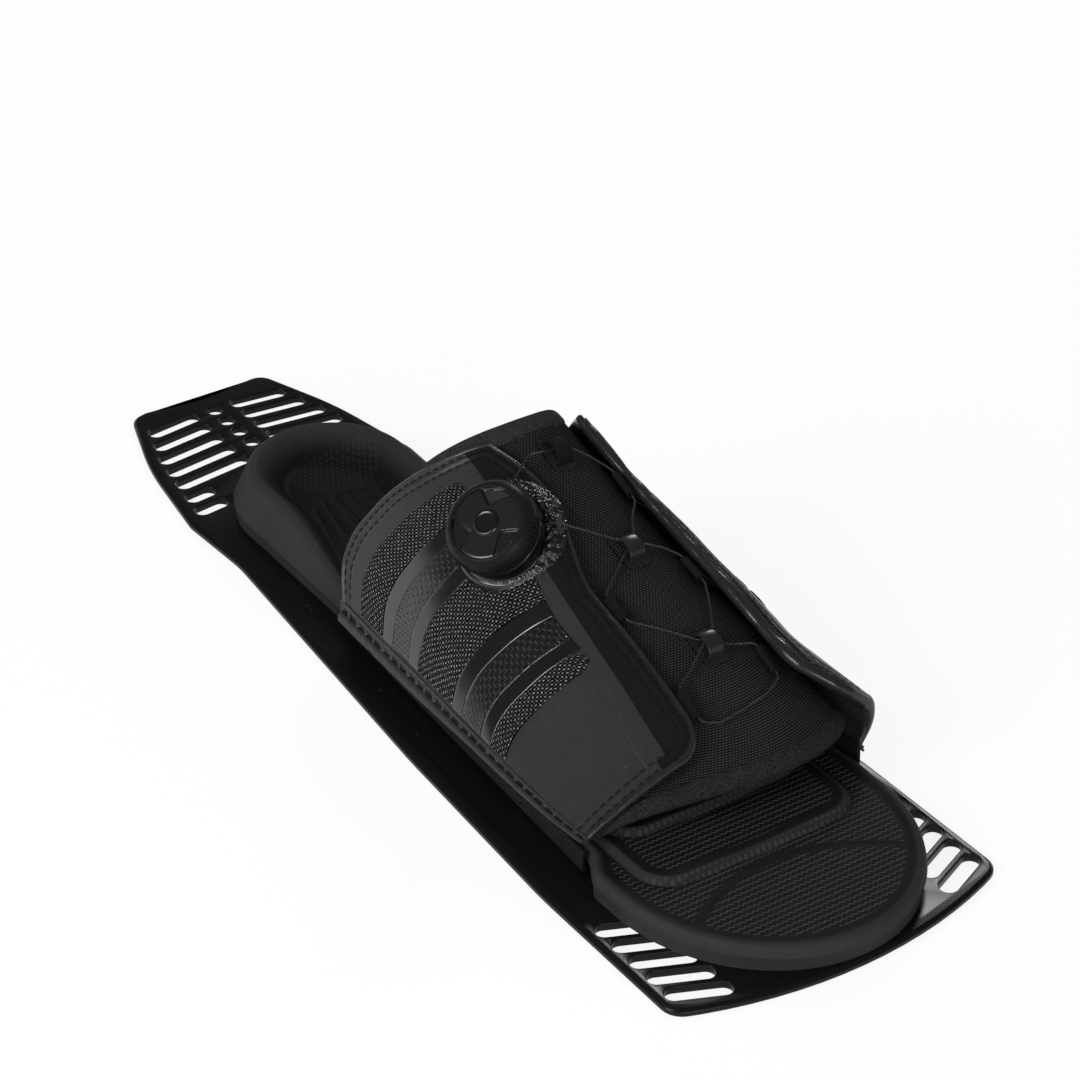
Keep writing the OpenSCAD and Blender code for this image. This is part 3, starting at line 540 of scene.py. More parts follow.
class Finishes:
    """Every finish of the binding, made once."""

    def __init__(self) -> None:
        """Makes the materials."""
        self.plate = Brushed("plate_black", 0.003, 0.007, 0.26, 0.15, 0.03, 0.2, 0.1, 0.5).make()
        self.foam = Tread("footbed_foam", 0.002, 0.055, 0.5, 0.02, 0.6, 1.0, 0.16, 0.25).make()
        self.tongue = Ribs("tongue_weave", 0.0003, 0.04, 0.6, 0.0, 0.4, 1.0, 0.1).make()
        self.velour = Pile("binding_velour", 0.0005, 0.04, 0.9, 0.0, 0.4, 1.0, 0.1, cell=1500.0).make()
        self.tape = Pile("binding_tape", 0.003, 0.05, 0.7, 0.01, 0.25, 0.8, 0.1, cell=2000.0).make()
        self.leather = Leather("flap_leather", 0.018, 0.029, 0.36, 0.18, 0.05, 0.3, 0.12, 0.25).make()
        self.rim = Leather("edge_leather", 0.008, 0.02, 0.22, 0.35, 0.12, 0.5, 0.14, 0.3).make()
        self.creased = Leather("creased_leather", 0.003, 0.012, 0.16, 0.5, 0.3, 1.0, 0.1).make()
        self.panel = Leather("lacing_panel", 0.005, 0.012, 0.36, 0.02, 0.05, 0.25, 0.1, 0.9).make()
        self.mesh = Basket("flap_mesh", 0.0005, 0.3, 0.5, 0.02, 0.7, 1.0, 0.1).make()
        self.gloss = Film("stripe_gloss", 0.002, 0.005, 0.16, 0.95, 0.06, 0.2, 0.06, 0.4).make()
        self.carbon = Embossed("stripe_pressed", 0.002, 0.006, 0.18, 0.8, 0.6, 1.0, 0.06).make()
        self.knit = Pile("skirt_knit", 0.0005, 0.026, 0.9, 0.0, 0.4, 1.0, 0.08, cell=1500.0).make()
        self.webbing = Braid("loop_webbing", 0.001, 0.013, 0.6, 0.02, 0.15, 0.8, 0.1).make()
        self.strap = Leather("keeper_strap", 0.008, 0.018, 0.3, 0.25, 0.05, 0.4, 0.1, 0.3).make()
        self.lace = Braid("lace_braid", 0.006, 0.03, 0.3, 0.16, 0.06, 0.6, 0.1).make()
        self.thread = Film("thread", 0.003, 0.014, 0.36, 0.08, 0.05, 0.5).make()
        self.dial_gloss = Film("dial_gloss", 0.002, 0.005, 0.18, 0.5, 0.03, 0.2, 0.08, 0.3).make()
        self.dial_shell = Finish("dial_shell", 0.004, 0.01, 0.2, 0.5, 0.02, 0.3, 0.1, 0.6).make()
        self.grip = Finish("dial_rubber", 0.005, 0.012, 0.36, 0.06, 0.03, 0.4, 0.12, 0.3).make()
        self.moulded = Finish("spool_plastic", 0.04, 0.06, 0.5, 0.3).make()
        self.steel = Brushed("axle_steel", 0.45, 0.6, 0.3, 0.5, 0.02, 0.3, metal=1.0).make()
        self.strip = Brushed("strip_aluminium", 0.5, 0.65, 0.4, 0.5, 0.02, 0.3, metal=1.0).make()


class Bench:
    """Modelling steps, each on one object with nothing else selected."""

    cuts: dict[str, tuple[float, float, float]] = {}

    @staticmethod
    def clear() -> None:
        """Deselects everything."""
        bpy.ops.object.select_all(action="DESELECT")

    @staticmethod
    def only(obj: Piece) -> None:
        """Selects one object and makes it active.

        Args:
            obj: The object.
        """
        Bench.clear()
        obj.select_set(True)
        bpy.context.view_layer.objects.active = obj

    @staticmethod
    def named(name: str) -> Piece:
        """Names the primitive that was just added.

        Args:
            name: Name of the object and its mesh.

        Returns:
            The object.
        """
        obj = bpy.context.object
        obj.name = name
        obj.data.name = name
        return obj

    @staticmethod
    def edit(obj: Piece, *steps: Callable[[], object]) -> None:
        """Runs steps in edit mode with the whole mesh selected first.

        Args:
            obj: The object.
            steps: Operators, run in order.
        """
        Bench.only(obj)
        bpy.ops.object.mode_set(mode="EDIT")
        bpy.ops.mesh.select_all(action="SELECT")
        for step in steps:
            step()
        bpy.ops.object.mode_set(mode="OBJECT")

    @staticmethod
    def places(obj: Piece) -> Array:
        """Vertex places in millimetres.

        Args:
            obj: A mesh object.

        Returns:
            One row for each vertex.
        """
        flat = np.empty(len(obj.data.vertices) * 3)
        obj.data.vertices.foreach_get("co", flat)
        return flat.reshape(-1, 3) / MM

    @staticmethod
    def move(obj: Piece, points: Array) -> None:
        """Puts every vertex at a place in millimetres."""
        obj.data.vertices.foreach_set("co", (points * MM).ravel())
        obj.data.update()

    @staticmethod
    def sheet(
        name: str, columns: int, rows: int, surface: Surface, relief: Optional[Relief] = None,
        zone: Optional[Relief] = None, materials: Sequence[bpy.types.Material] = ()
    ) -> Piece:
        """A grid laid on a surface, with its UV map in metres along the cloth.

        Args:
            name: Name of the piece.
            columns: Cells along u.
            rows: Cells along v.
            surface: Place for u, v and a distance out of the surface.
            relief: Distance out for u and v.
            zone: Which of the materials a place has.
            materials: Materials, where there are several.

        Returns:
            The open sheet, facing out.
        """
        Bench.clear()
        bpy.ops.mesh.primitive_grid_add(x_subdivisions=columns, y_subdivisions=rows, size=2.0)
        obj = Bench.named(name)
        flat = Bench.places(obj) * MM
        u, v = (flat[:, 0] + 1.0) / 2.0, (flat[:, 1] + 1.0) / 2.0
        d = relief(u, v) if relief else np.zeros_like(u)
        points = surface(u, v, d)
        Bench.move(obj, points)
        corners = np.empty(len(obj.data.loops), dtype=np.int64)
        obj.data.loops.foreach_get("vertex_index", corners)
        for material in materials:
            obj.data.materials.append(material)
        if zone:
            middle_u, middle_v = (a[corners].reshape(-1, 4).mean(axis=1) for a in (u, v))
            obj.data.polygons.foreach_set("material_index", zone(middle_u, middle_v).astype(np.int32))
        Bench.lay_map(obj, u, v, points)
        out = surface(u, v, d + 1.0) - points
        normals = np.empty(len(u) * 3)
        obj.data.vertices.foreach_get("normal", normals)
        if np.sum(normals.reshape(-1, 3) * out) < 0.0:
            Bench.edit(obj, bpy.ops.mesh.flip_normals)
        return obj

    @staticmethod
    def shell(
        name: str, cells: tuple[int, int], outer: Surface, inner: Surface, zone: Optional[Relief] = None,
        materials: Sequence[bpy.types.Material] = (), lining: Sequence[bpy.types.Material] = ()
    ) -> Piece:
        """Two sheets that meet along their edges, as one closed piece.

        Args:
            name: Name of the piece.
            cells: Cells along u and v.
            outer: The outer face.
            inner: The inner face.
            zone: Which of the materials a place of the outer face has.
            materials: Materials of the outer face.
            lining: Material of the inner face.

        Returns:
            The closed piece.
        """
        top = Bench.sheet(name, cells[0], cells[1], outer, None, zone, materials)
        under = Bench.sheet(name + "_under", cells[0], cells[1], inner, None, None, lining)
        Bench.edit(under, bpy.ops.mesh.flip_normals)
        obj = Bench.join(name, [top, under])
        Bench.weld(obj)
        Bench.smooth(obj, 75.0)
        return obj

    @staticmethod
    def tube(name: str, line: Array, radius: Union[float, Array], sides: int = 10) -> Piece:
        """A round tube along a line of points, closed at its ends.

        Args:
            name: Name of the piece.
            line: Points in millimetres.
            radius: Radius in millimetres, one for all or one for each point.
            sides: Faces round it.

        Returns:
            The closed tube.
        """
        way = unit(np.gradient(line, axis=0))
        across = np.empty_like(line)
        across[0] = np.cross(way[0], (0.0, 0.0, 1.0))
        for i in range(len(line)):
            last = across[max(i - 1, 0)]
            across[i] = unit(last - way[i] * np.dot(last, way[i]))
        up = np.cross(way, across)
        count = np.arange(len(line))
        radii = np.broadcast_to(radius, count.shape)

        def face(u: Array, v: Array, d: Array) -> Array:
            """Round the tube and along it.

            Args:
                u: Share of a turn.
                v: Share along the tube.
                d: Distance out.

            Returns:
                Places in millimetres.
            """
            at = v * (len(line) - 1)
            ends = np.minimum(at, len(line) - 1 - at)
            a = (2 * math.pi * u)[:, None]
            r = ((np.interp(at, count, radii) + d) * np.clip(ends, 0.0, 1.0))[:, None]
            return along(at, count, line) + r * (
                np.cos(a) * along(at, count, across) + np.sin(a) * along(at, count, up))

        obj = Bench.sheet(name, sides, len(line) - 1, face)
        Bench.weld(obj)
        Bench.smooth(obj, 60.0)
        return obj

    @staticmethod
    def lay_map(obj: Piece, u: Array, v: Array, points: Array) -> None:
        """Writes lengths along the cloth to the UV map.

        Args:
            obj: A grid.
            u: Grid share of each vertex along its columns.
            v: Grid share along its rows.
            points: Vertex places in millimetres.
        """
        order = np.lexsort((u.round(5), v.round(5)))
        columns = len(np.unique(u.round(5)))
        laid = points[order].reshape(-1, columns, 3)
        across = np.zeros(laid.shape[:2])
        across[:, 1:] = np.cumsum(np.linalg.norm(np.diff(laid, axis=1), axis=2), axis=1)
        across -= across[:, columns // 2 : columns // 2 + 1]
        down = np.zeros(laid.shape[:2])
        down[1:] = np.cumsum(np.linalg.norm(np.diff(laid, axis=0), axis=2), axis=0)
        cell = np.linalg.norm(np.cross(laid[1:, :-1] - laid[:-1, :-1], laid[:-1, 1:] - laid[:-1, :-1]), axis=2)
        Bench.cuts[obj.name] = (np.ptp(across, axis=1).max() * MM, down.max() * MM, cell.sum() * MM * MM)
        uv = np.empty((len(u), 2))
        uv[order] = np.stack([across, down], axis=2).reshape(-1, 2) * MM
        corners = np.empty(len(obj.data.loops), dtype=np.int64)
        obj.data.loops.foreach_get("vertex_index", corners)
        obj.data.uv_layers[0].data.foreach_set("uv", uv[corners].ravel())

    @staticmethod
    def weld(obj: Piece) -> None:
        """Merges seams and poles."""
        Bench.edit(obj, lambda: bpy.ops.mesh.remove_doubles(threshold=MERGE))

    @staticmethod
    def face_out(obj: Piece) -> None:
        """Turns every face of a closed form outwards."""
        Bench.edit(obj, lambda: bpy.ops.mesh.normals_make_consistent(inside=False))

    @staticmethod
    def apply(obj: Piece) -> None:
        """Applies every modifier in turn."""
        Bench.only(obj)
        for modifier in list(obj.modifiers):
            bpy.ops.object.modifier_apply(modifier=modifier.name)

    @staticmethod
    def smooth(obj: Piece, angle: float = 40.0) -> None:
        """Smooth shading up to an angle in degrees."""
        Bench.only(obj)
        bpy.ops.object.shade_smooth_by_angle(angle=math.radians(angle))

    @staticmethod
    def thicken(obj: Piece, thickness: float, edge: float = 0.0, segments: int = 3) -> None:
        """Gives a sheet a thickness inwards and a round edge.

        Args:
            obj: An open sheet.
            thickness: Thickness in millimetres.
            edge: Radius of the edge in millimetres, 0 for a plain edge.
            segments: Steps of the round.
        """
        wall = obj.modifiers.new("wall", "SOLIDIFY")
        wall.thickness = thickness * MM
        wall.offset = -1.0
        if edge:
            Bench.round_edges(obj, edge, segments, 50.0)
        else:
            Bench.apply(obj)
            Bench.smooth(obj, 75.0)

    @staticmethod
    def round_edges(obj: Piece, radius: float, segments: int, angle: float) -> None:
        """Rounds the edges sharper than an angle in degrees, and applies all modifiers.

        Args:
            obj: The piece.
            radius: Radius in millimetres.
            segments: Steps of the round.
            angle: Least bend of a rounded edge.
        """
        bevel = obj.modifiers.new("edge", "BEVEL")
        bevel.width = radius * MM
        bevel.segments = segments
        bevel.limit_method = "ANGLE"
        bevel.angle_limit = math.radians(angle)
        bevel.use_clamp_overlap = False
        Bench.apply(obj)
        Bench.smooth(obj)

    @staticmethod
    def cut(obj: Piece, tool: Piece) -> None:
        """Takes a tool's shape out of an object and deletes the tool.

        Args:
            obj: The piece.
            tool: The shape to take out.
        """
        cutter = obj.modifiers.new("cut", "BOOLEAN")
        cutter.operation = "DIFFERENCE"
        cutter.solver = "EXACT"
        cutter.object = tool
        Bench.apply(obj)
        bpy.data.objects.remove(tool, do_unlink=True)

    @staticmethod
    def join(name: str, pieces: Sequence[Piece]) -> Piece:
        """Joins pieces into one, under a name.

        Args:
            name: Name of the whole.
            pieces: What is joined.

        Returns:
            The joined piece.
        """
        Bench.clear()
        for piece in pieces:
            piece.select_set(True)
        bpy.context.view_layer.objects.active = pieces[0]
        if len(pieces) > 1:
            bpy.ops.object.join()
        return Bench.named(name)

    @staticmethod
    def scatter(name: str, places: Array, frames: Array, size: Sequence[float]) -> Piece:
        """Copies one small round stitch to many places.

        Args:
            name: Name of the piece.
            places: Middles in millimetres.
            frames: For each, three axes as rows: along, across, out.
            size: Half sizes along those axes.

        Returns:
            One object with every copy.
        """
        Bench.clear()
        bpy.ops.mesh.primitive_uv_sphere_add(segments=8, ring_count=5, radius=1.0)
        obj = Bench.named(name)
        form = Bench.places(obj) * MM * np.array(size)
        faces = [tuple(p.vertices) for p in obj.data.polygons]
        count = len(form)
        points = np.concatenate([form @ f + p for p, f in zip(places, frames)])
        mesh = bpy.data.meshes.new(name)
        mesh.from_pydata((points * MM).tolist(), [],
                         [tuple(k + i * count for k in f) for i in range(len(places)) for f in faces])
        old, obj.data = obj.data, mesh
        bpy.data.meshes.remove(old)
        Bench.smooth(obj, 180.0)
        return obj

    @staticmethod
    def copy_node(name: str, node: Piece) -> Piece:
        """A merged copy of a CAD node with flat faces made whole.

        Args:
            name: Name of the copy.
            node: The CAD node.

        Returns:
            The copy.
        """
        obj = bpy.data.objects.new(name, node.data.copy())
        obj.data.materials.clear()
        bpy.context.scene.collection.objects.link(obj)
        Bench.edit(
            obj,
            lambda: bpy.ops.mesh.remove_doubles(threshold=MERGE),
            lambda: bpy.ops.mesh.dissolve_limited(angle_limit=math.radians(0.3)))
        return obj

    @staticmethod
    def settle(
        obj: Piece, material: bpy.types.Material, slot: str,
        stands_for: Sequence[str] = (), body: str = ROOT
    ) -> Piece:
        """Dresses a piece and sets it on its body.

        Args:
            obj: The finished piece.
            material: Its material, where it has none yet.
            slot: The record's material slot; not used.
            stands_for: CAD nodes that it replaces.
            body: The body it rides on.

        Returns:
            The piece.
        """
        if not obj.data.materials:
            obj.data.materials.append(material)
        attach(obj, body)
        if stands_for:
            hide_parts(*stands_for)
        LOG.info("%s: %d faces on %s", obj.name, len(obj.data.polygons), body)
        return obj

    @staticmethod
    def cloth(obj: Piece, held: str, rests_on: Sequence[str], pieces: Sequence[Piece] = ()) -> None:
        """Looks up the size a sheet was cut to, and works out a size from it that is not kept.

        Args:
            obj: The sheet.
            held: How it is held; not used.
            rests_on: What it lies on; not used.
            pieces: Pieces sewn to it; not used.
        """
        width, length, area = Bench.cuts[obj.name]
        min(max(area, 0.31 * width * length), width * length)


@dataclass(frozen=True)
class Upper:
    """The arched form that every layer lies on, in millimetres."""

    hem_z: float = 14.0
    crown_top: float = 85.0
    right_hem: tuple[Sequence[float], Sequence[float]] = ((-34.0, 128.0), (-38.0, -48.0))
    left_hem: tuple[Sequence[float], Sequence[float]] = ((-34.0, 135.0), (42.0, 57.0))
    drop: tuple[Sequence[float], Sequence[float]] = ((-45, -6, 50, 97, 145), (-12, 0, 24, 38, 63))
    handles: tuple[float, float] = (34.0, 9.0)
    tongue_thickness: float = 3.0
    flap_inner: float = 3.25
    flap_outer: float = 5.65

    def crown(self, x: Array) -> Array:
        """Height of the crown at a station."""
        steps = [np.interp(x + k * 7.0, *self.drop) for k in range(-2, 3)]
        return self.crown_top - sum(steps) / len(steps)

    def point(self, x: Array, t: Array, d: Array) -> Array:
        """Place at station x and share t round the arch, d outside the lining.

        Args:
            x: Station.
            t: Share from the right hem to the left.
            d: Distance out.

        Returns:
            Places in millimetres.
        """
        right, left = np.interp(x, *self.right_hem), np.interp(x, *self.left_hem)
        z = self.hem_z + (self.crown(x) - self.hem_z) / 0.75
        ys = (right, right + self.handles[0], left + self.handles[1], left)
        zs = (self.hem_z, z, z, self.hem_z)
        s = 1.0 - t
        y, h = (s**3 * p[0] + 3 * s * s * t * p[1] + 3 * s * t * t * p[2] + t**3 * p[3] for p in (ys, zs))
        gy, gz = (s * s * (p[1] - p[0]) + 2 * s * t * (p[2] - p[1]) + t * t * (p[3] - p[2]) for p in (ys, zs))
        length = np.hypot(gy, gz)
        return np.stack(np.broadcast_arrays(x, y - gz / length * d, h + gy / length * d), axis=-1)

    def rate(self, x: float, t: float) -> float:
        """Millimetres round the arch for one unit of t."""
        step = 0.005
        return float(np.linalg.norm(self.point(x, t + step, 0.0) - self.point(x, t - step, 0.0)) / (2 * step))

    def frame(self, x: float, t: float) -> Array:
        """Axes at a place, as rows: along the foot, round the arch, out.

        Args:
            x: Station.
            t: Share round the arch.

        Returns:
            Three unit rows.
        """
        along = self.point(x + 1.0, t, 0.0) - self.point(x - 1.0, t, 0.0)
        round_arch = self.point(x, t + 0.01, 0.0) - self.point(x, t - 0.01, 0.0)
        out = np.cross(along, round_arch)
        out = out / np.linalg.norm(out)
        along = along / np.linalg.norm(along)
        return np.stack([along, np.cross(out, along), out])

    @staticmethod
    def arch(t: Array) -> Array:
        """0 at the hems and 1 at the crown."""
        return np.sin(math.pi * np.clip(t, 0.0, 1.0))

    def tongue_rear(self, t: Array) -> Array:
        """Station of the tongue's rear edge."""
        return mix(-35.0, -4.8, self.arch(t) ** 1.9)

    def tongue_front(self, t: Array) -> Array:
        """Station of the tongue's front edge."""
        return mix(mix(124.0, 112.0, t), 139.5, self.arch(t))

    def flap_rear(self, t: Array) -> Array:
        """Station of a flap's rear edge."""
        return mix(-34.0, 5.0, self.arch(t) ** 2.4)


class Side(Enum):
    """Side of the foot."""

    RIGHT = "right"
    LEFT = "left"


@dataclass
class Dial:
    """The lacing dial: its place, and the pieces that dress it."""

    seat: Sequence[float] = (26.0, -12.1175, 67.0275)
    axis: Sequence[float] = (0.240628, -0.630851, 0.737648)
    flange_r: float = 18.5
    knob_line: Sequence[Sequence[float]] = (
        (0.0, 16.4), (12.4, 16.4), (13.4, 16.1), (14.6, 14.8), (15.2, 13.0), (15.2, 7.9), (3.2, 7.9), (3.2, 10.9),
        (0.0, 10.9))
    cap_line: Sequence[Sequence[float]] = (
        (0.0, 16.85), (3.3, 16.85), (3.7, 17.0), (4.2, 17.0), (4.7, 16.7), (4.8, 15.9), (0.0, 15.9))
    grip_line: Sequence[Sequence[float]] = (
        (15.25, 8.3), (16.3, 8.3), (16.75, 8.9), (16.8, 11.6), (16.6, 13.0), (16.0, 14.4), (15.1, 15.6),
        (14.2, 16.4), (13.4, 16.75), (12.8, 16.6), (12.9, 16.0), (14.6, 14.4), (15.25, 13.0), (15.25, 8.3))
    panel_turn: float = 11.8
    rib_groups: int = 6
    rib_pitch: float = 5.6
    rib_turn: float = 35.0

    def __post_init__(self) -> None:
        """Works out the dial's own axes."""
        n = np.array(self.axis) / np.linalg.norm(self.axis)
        tilt, turn = math.acos(n[2]), math.atan2(n[1], n[0])
        c, s = math.cos(turn), math.sin(turn)
        ex = np.array([c * c * math.cos(tilt) + s * s, s * c * (math.cos(tilt) - 1.0), -c * math.sin(tilt)])
        self.frame = np.stack([ex, np.cross(n, ex), n])

    def out(self, local: Array) -> Array:
        """Places in the shared frame from the dial's own."""
        return np.asarray(self.seat) + local @ self.frame

    def into(self, points: Array) -> Array:
        """Places in the dial's own frame."""
        return (points - np.asarray(self.seat)) @ self.frame.T

    def polar(self, r: float, degrees: float, z: float) -> Array:
        """A place round the dial's axis."""
        a = math.radians(degrees)
        return self.out(np.array([r * math.cos(a), r * math.sin(a), z]))

    def drill(self, radius: float) -> Piece:
        """A round cutter along the dial's axis.

        Args:
            radius: Radius in millimetres.

        Returns:
            The cutter.
        """
        Bench.clear()
        bpy.ops.mesh.primitive_cylinder_add(vertices=96, radius=radius * MM, depth=24.0 * MM)
        obj = Bench.named("drill")
        Bench.move(obj, self.out(Bench.places(obj)))
        return obj

    def dress(self, nodes: Mapping[str, Piece], finishes: Finishes, flap: "Flap") -> None:
        """Builds the dial's pieces.

        Args:
            nodes: CAD nodes by name.
            finishes: Materials.
            flap: The flap that carries the dial.
        """
        base = Bench.copy_node("dial_base_shell", nodes["dial_base"])
        Bench.round_edges(base, 0.2, 2, 24.0)
        Bench.settle(base, finishes.dial_gloss, "dial_gloss", ("dial_base",))
        for name, line, cells, form, material, slot, node in (
            ("knob_shell", self.knob_line, (170, 300), self.sunk, finishes.dial_shell, "dial_knob", "dial_knob"),
            ("cap_disc", self.cap_line, (60, 120), self.plain, finishes.dial_gloss, "dial_gloss", "dial_cap"),
            ("grip_ring", self.grip_line, (80, 420), self.ribbed, finishes.grip, "dial_grip", "dial_grip"),
        ):
            Bench.settle(self.turned(name, line, cells, form), material, slot, (node,), KNOB)
        Bench.settle(self.collar(flap), finishes.creased, "flap_leather")

    def turned(self, name: str, line: Sequence[Sequence[float]], cells: tuple[int, int],
               form: Callable[[Array, Array, Array], tuple[Array, Array]]) -> Piece:
        """A section turned round the dial's axis, then formed.

        Args:
            name: Name of the piece.
            line: Radius and height of the section's points.
            cells: Cells along the section and round the axis.
            form: New radius and height from radius, height and angle.

        Returns:
            The closed piece.
        """
        rows = np.array(line)
        run = lengths(rows)
        at = np.linspace(0.0, run[-1], 500)
        fine = np.stack([np.interp(at, run, rows[:, k]) for k in range(2)], axis=1)
        relax(fine, 12)

        def face(u: Array, v: Array, d: Array) -> Array:
            """Along the section and round the axis.

            Args:
                u: Share along the section.
                v: Share of a turn.
                d: Distance up.

            Returns:
                Places in millimetres.
            """
            a = 2 * math.pi * v
            r, z = form(*(np.interp(u * run[-1], at, fine[:, k]) for k in range(2)), a)
            return self.out(np.stack([r * np.cos(a), r * np.sin(a), z + d], axis=1))

        obj = Bench.sheet(name, *cells, face)
        Bench.weld(obj)
        Bench.face_out(obj)
        Bench.smooth(obj, 32.0)
        return obj

    @staticmethod
    def plain(r: Array, z: Array, a: Array) -> tuple[Array, Array]:
        """The section as it is."""
        return r, z

    def sunk(self, r: Array, z: Array, a: Array) -> tuple[Array, Array]:
        """Three sunk panels in the knob's top, each with a pointed inner end.

        Args:
            r: Radius.
            z: Height.
            a: Angle in radians.

        Returns:
            New radius and height.
        """
        sink = np.zeros_like(r)
        for k in range(3):
            turn = math.radians(self.panel_turn + 120.0 * k)
            p, q = r * np.cos(a - turn), r * np.sin(a - turn)
            sides = [12.3 - p] + [(p - 6.0) * math.cos(k) - q * math.sin(k) for k in np.radians((58.0, -20.0))]
            inside = np.minimum(np.minimum.reduce(sides), 7.6 - np.abs(q + 1.0))
            depth = mix(0.95, 0.6, np.clip((p - 6.0) / 6.0, 0, 1))
            sink = np.maximum(sink, np.clip(inside / 0.4, 0.0, 1.0) * depth)
        return r, z - np.where(z > 15.9, sink, 0.0)

    def ribbed(self, r: Array, z: Array, a: Array) -> tuple[Array, Array]:
        """Groups of ribs in shallow hollows round the grip.

        Args:
            r: Radius.
            z: Height.
            a: Angle in radians.

        Returns:
            New radius and height.
        """
        pitch = 360.0 / self.rib_groups
        place = (np.degrees(a) - self.rib_turn + pitch / 2.0) % pitch - pitch / 2.0
        hollow = ease((18.0 - np.abs(place)) / 4.0) * ease((r - 15.6) / 0.4)
        hollow = hollow * ease((z - 8.6) / 0.8) * ease((15.0 - z) / 1.2)
        rib = 0.5 + 0.5 * np.cos(2 * math.pi * place / self.rib_pitch)
        return r + hollow * (0.65 * rib - 0.5), z

    def collar(self, flap: "Flap") -> Piece:
        """The gathered rim of the flap round the dial's base.

        Args:
            flap: The flap that carries the dial.

        Returns:
            The collar.
        """
        u, v = (a.ravel() for a in np.meshgrid(np.linspace(0.3, 1, 160), np.linspace(0, 0.8, 200)))
        around = self.into(flap.place(u, v, np.full_like(u, flap.upper.flap_outer)))

        def ring(share: Array, turn: Array, d: Array) -> Array:
            """A low roll from the base to the flap.

            Args:
                share: Share from base to flap.
                turn: Share of a turn.
                d: Distance up.

            Returns:
                Places in millimetres.
            """
            a = 2 * math.pi * turn
            free = ease(0.5 + np.sin(a - math.radians(10.0)))
            r = mix(16.2, mix(19.1, 22.0, free), share)
            x, y = r * np.cos(a), r * np.sin(a)
            low = np.array([
                around[np.argmin((around[:, 0] - p) ** 2 + (around[:, 1] - q) ** 2), 2] for p, q in zip(x, y)])
            fold = rumple(np.stack([r * 1.5, a * 17.0, 0 * r], axis=1), 2.0) * (0.1 + 1.5 * free)
            body = np.sin(math.pi * np.clip(share * 0.94 + 0.06, 0, 1)) ** 0.6
            z = mix(1.25, np.maximum(low, -6.0) + 0.05, ease(share)) + body * (mix(0.35, 1.0, free) + fold) + d
            return self.out(np.stack([x, y, z], axis=1))

        obj = Bench.sheet("dial_collar", 26, 400, ring)
        Bench.weld(obj)
        Bench.thicken(obj, 0.6)
        return obj


